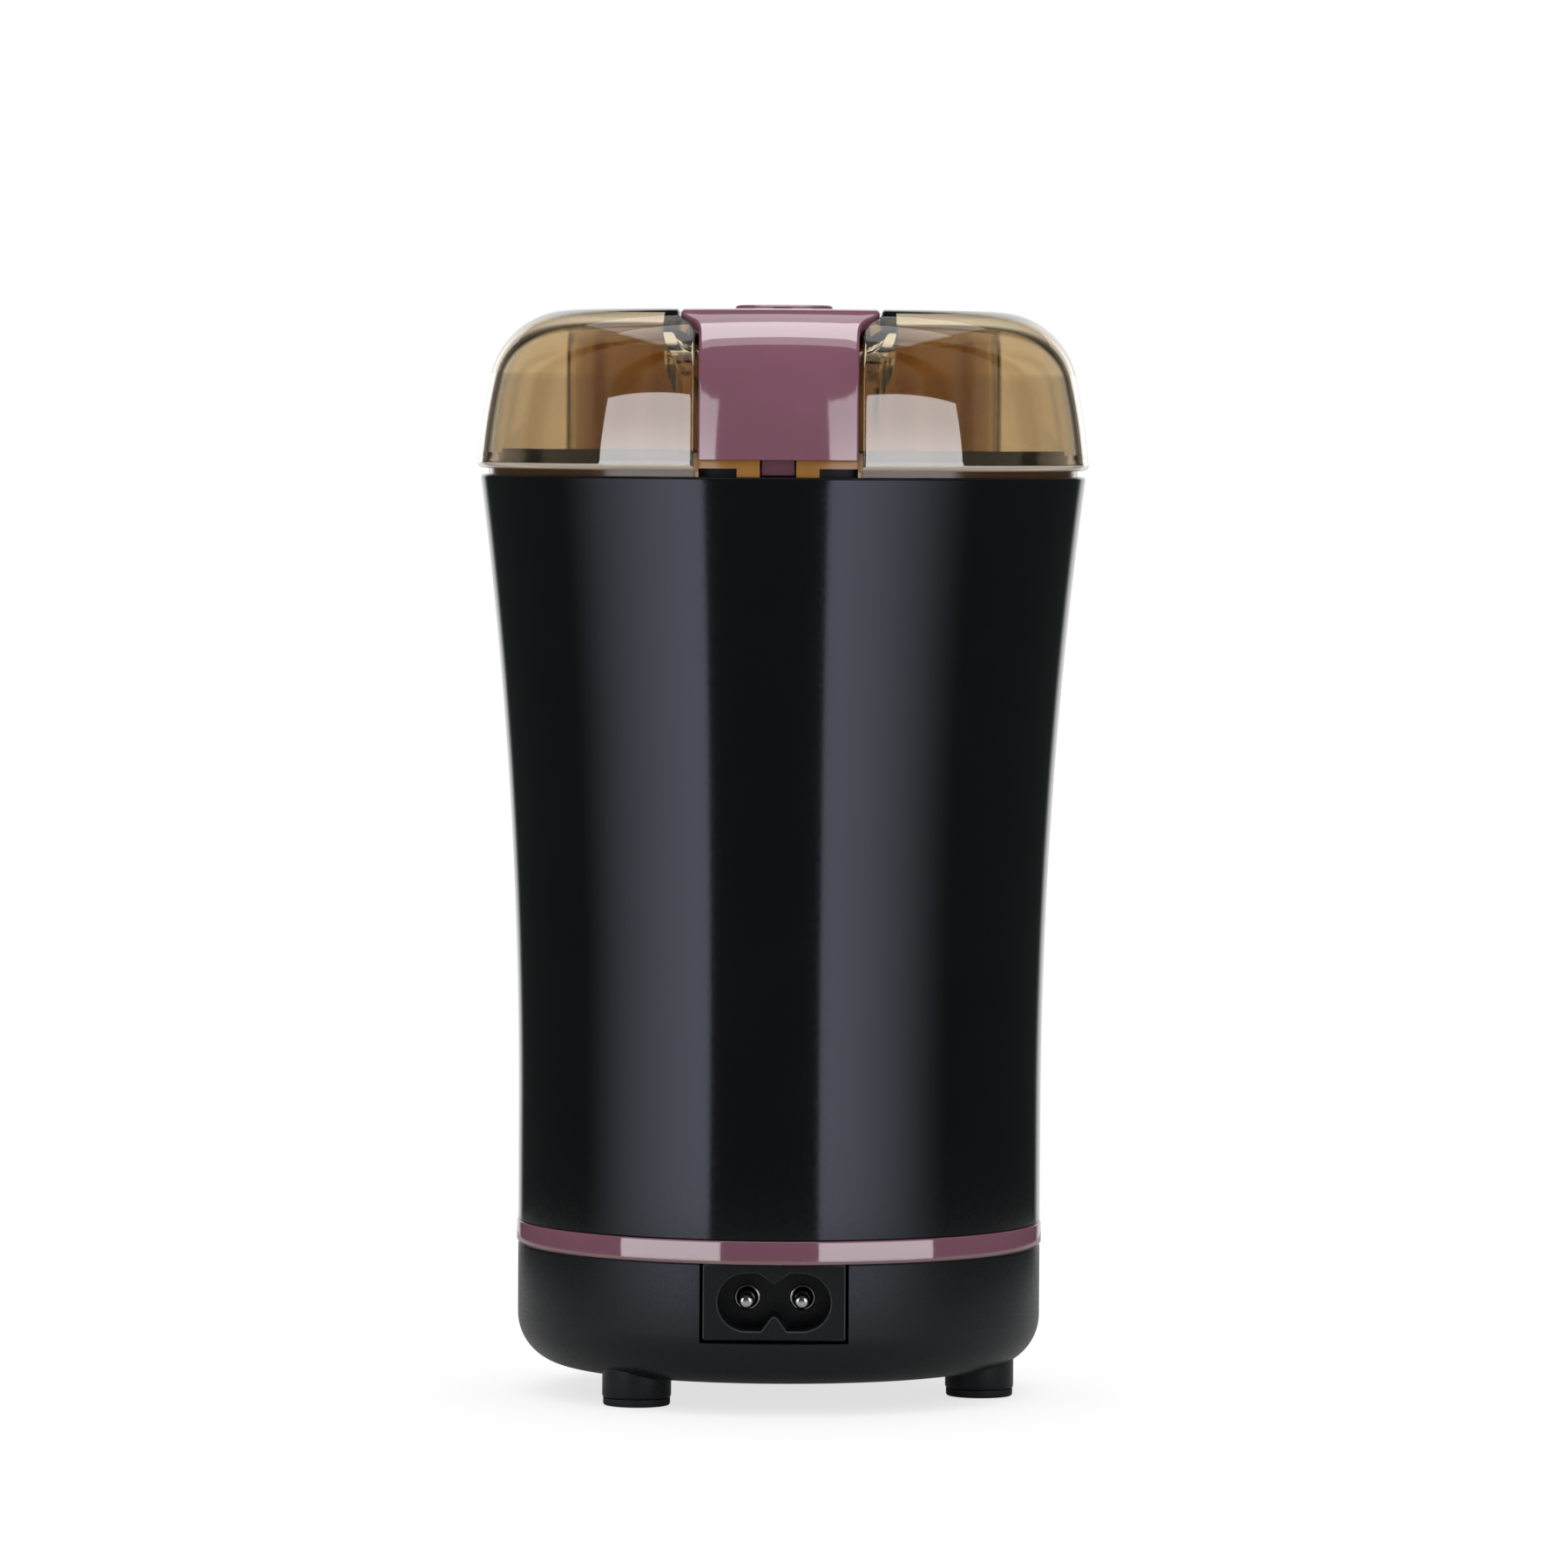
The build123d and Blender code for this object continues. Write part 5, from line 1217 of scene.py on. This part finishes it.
def add_world():
    """White for the camera, striped for the see-through pieces, and soft light for matt faces.

    The gloss sees white behind the object and is nearly dark elsewhere.
    """
    world = bpy.data.worlds.new("studio")
    bpy.context.scene.world = world
    world.use_nodes = True
    tree = world.node_tree
    path = tree.nodes.new("ShaderNodeLightPath").outputs
    place = axes(tree, "ShaderNodeTexCoord", "Generated")
    behind = span(tree, place["Y"], BACKDROP_EDGE, BACKDROP_FULL, GLOSS_DIM, 1.0)
    turn = maths(tree, "ARCTAN2", place["X"], place["Y"])
    wave = maths(tree, "COSINE", maths(tree, "MULTIPLY", turn, WORLD_STRIPES))
    through = span(tree, wave, *STRIPE_EDGES, STRIPE_DARK, 1.0)
    clear = maths(tree, "MULTIPLY", path["Is Transmission Ray"], through)
    gloss = tree.nodes.new("ShaderNodeMix")
    gloss.inputs["A"].default_value = SOFT_LIGHT
    tree.links.new(path["Is Glossy Ray"], gloss.inputs["Factor"])
    tree.links.new(behind, gloss.inputs["B"])
    seen = maths(tree, "MAXIMUM", path["Is Camera Ray"], clear)
    strength = maths(tree, "MAXIMUM", gloss.outputs["Result"], seen)
    background = tree.nodes["Background"].inputs
    tree.links.new(strength, background["Strength"])
    background["Color"].default_value = (1, 1, 1, 1)


def add_floor():
    """Small disc under the object that looks white and keeps its shadow."""
    made = bmesh.new()
    bmesh.ops.create_circle(made, cap_ends=True, segments=96, radius=FLOOR_RADIUS)
    mesh = bpy.data.meshes.new("floor")
    made.to_mesh(mesh)
    made.free()
    floor = linked("floor", mesh)
    material, tree, shader = new_material("floor_white")
    shader.inputs["Base Color"].default_value = (FLOOR_GREY, FLOOR_GREY, FLOOR_GREY, 1)
    shader.inputs["Roughness"].default_value = 0.9
    shader.inputs["Specular IOR Level"].default_value = 0.1
    shader.inputs["Emission Color"].default_value = (1, 1, 1, 1)
    path = tree.nodes.new("ShaderNodeLightPath").outputs
    seen = path["Is Camera Ray"]
    for ray, share in FLOOR_SHARES:
        seen = maths(tree, "MULTIPLY_ADD", path[ray], share, seen)
    tree.links.new(maths(tree, "MULTIPLY", seen, FLOOR_GLOW), shader.inputs["Emission Strength"])
    mesh.materials.append(material)


add_camera()
add_world()
add_floor()
add_overhead("top_light", radiance=1.0, length=1.6, shift=0.35, height=TOP_HEIGHT)
strip = add_overhead("top_strip", radiance=2.0, length=0.6, shift=0.12, height=STRIP_HEIGHT)
strip.visible_diffuse = False
lid_boxes = [add_softbox("left_lid_box", *LEFT_BOX, LID_RADIANCE, BOX_COLOUR),
             add_softbox("right_lid_box", *RIGHT_BOX, LID_RADIANCE, BOX_COLOUR),
             add_softbox("left_rim_box", *LEFT_RIM, RIM_RADIANCE, BOX_COLOUR),
             add_softbox("right_rim_box", *RIGHT_RIM, RIM_RADIANCE, BOX_COLOUR)]
plum_boxes = [add_softbox("left_plum_box", *LEFT_BOX, PLUM_RADIANCE, BOX_COLOUR),
              add_softbox("right_plum_box", *RIGHT_BOX, PLUM_RADIANCE, BOX_COLOUR)]
glows = [add_softbox("left_glow", *LEFT_GLOW, GLOW_RADIANCE, GLOW_COLOUR, fades=True),
         add_softbox("right_glow", *RIGHT_GLOW, GLOW_RADIANCE, GLOW_COLOUR, fades=True)]
bpy.context.scene.view_settings.view_transform = "Standard"

dress_nodes()
piece("base_shell_skin", base_shell(), "housing", ["base_shell"], "black_satin")
piece("foot_pads_skin", foot_pads(), "housing", ["foot_pads"], "rubber")
trim = piece("trim_ring_skin", trim_ring(), "housing", ["trim_ring"], "plum_plastic")
# A lighter plum on the ring's lower bevel: a painted highlight.
plum_painted_highlight = moulded("plum_painted_highlight", (0.52, 0.33, 0.33), 0.12, 0.03, 1400, 1e-6, ior=1.6)
paint_slope_highlight(trim, plum_painted_highlight, axis=2, slope=RING_HIGHLIGHT_SLOPE)
piece("outer_shell_skin", outer_shell(), "housing", ["outer_shell"], "black_gloss")
inlet = piece("inlet_socket_skin", inlet_socket(), "housing", ["inlet_socket"], "inlet_plastic")
# A lighter black on the inlet's bevelled front edges: a painted highlight.
inlet_painted_highlight = moulded("inlet_painted_highlight", (0.05, 0.055, 0.06), 0.3, 0.06, 2400, 4e-6)
paint_slope_highlight(inlet, inlet_painted_highlight, axis=1, slope=INLET_HIGHLIGHT_SLOPE)
piece("inlet_pins_skin", inlet_pins(), "housing", ["inlet_pins"], "pin_metal")
piece("grinding_bowl_skin", grinding_bowl(), "housing", ["grinding_bowl"], "bowl_steel")
lid = piece("lid_dome_skin", lid_dome(), "lid", ["lid_dome"], "smoke_plastic")
dress_lid(lid)
strap = piece("press_strap_skin", press_strap(), "strap", ["press_strap"], "plum_plastic")
add_springs()
for lamp in lid_boxes:
    light_some(lamp, (lid,), "INCLUDE")
for lamp in plum_boxes:
    light_some(lamp, (strap, trim), "INCLUDE")
light_some(strip, (lid, strap), "INCLUDE")
for lamp in glows:
    light_some(lamp, (lid, strap, trim), "EXCLUDE")
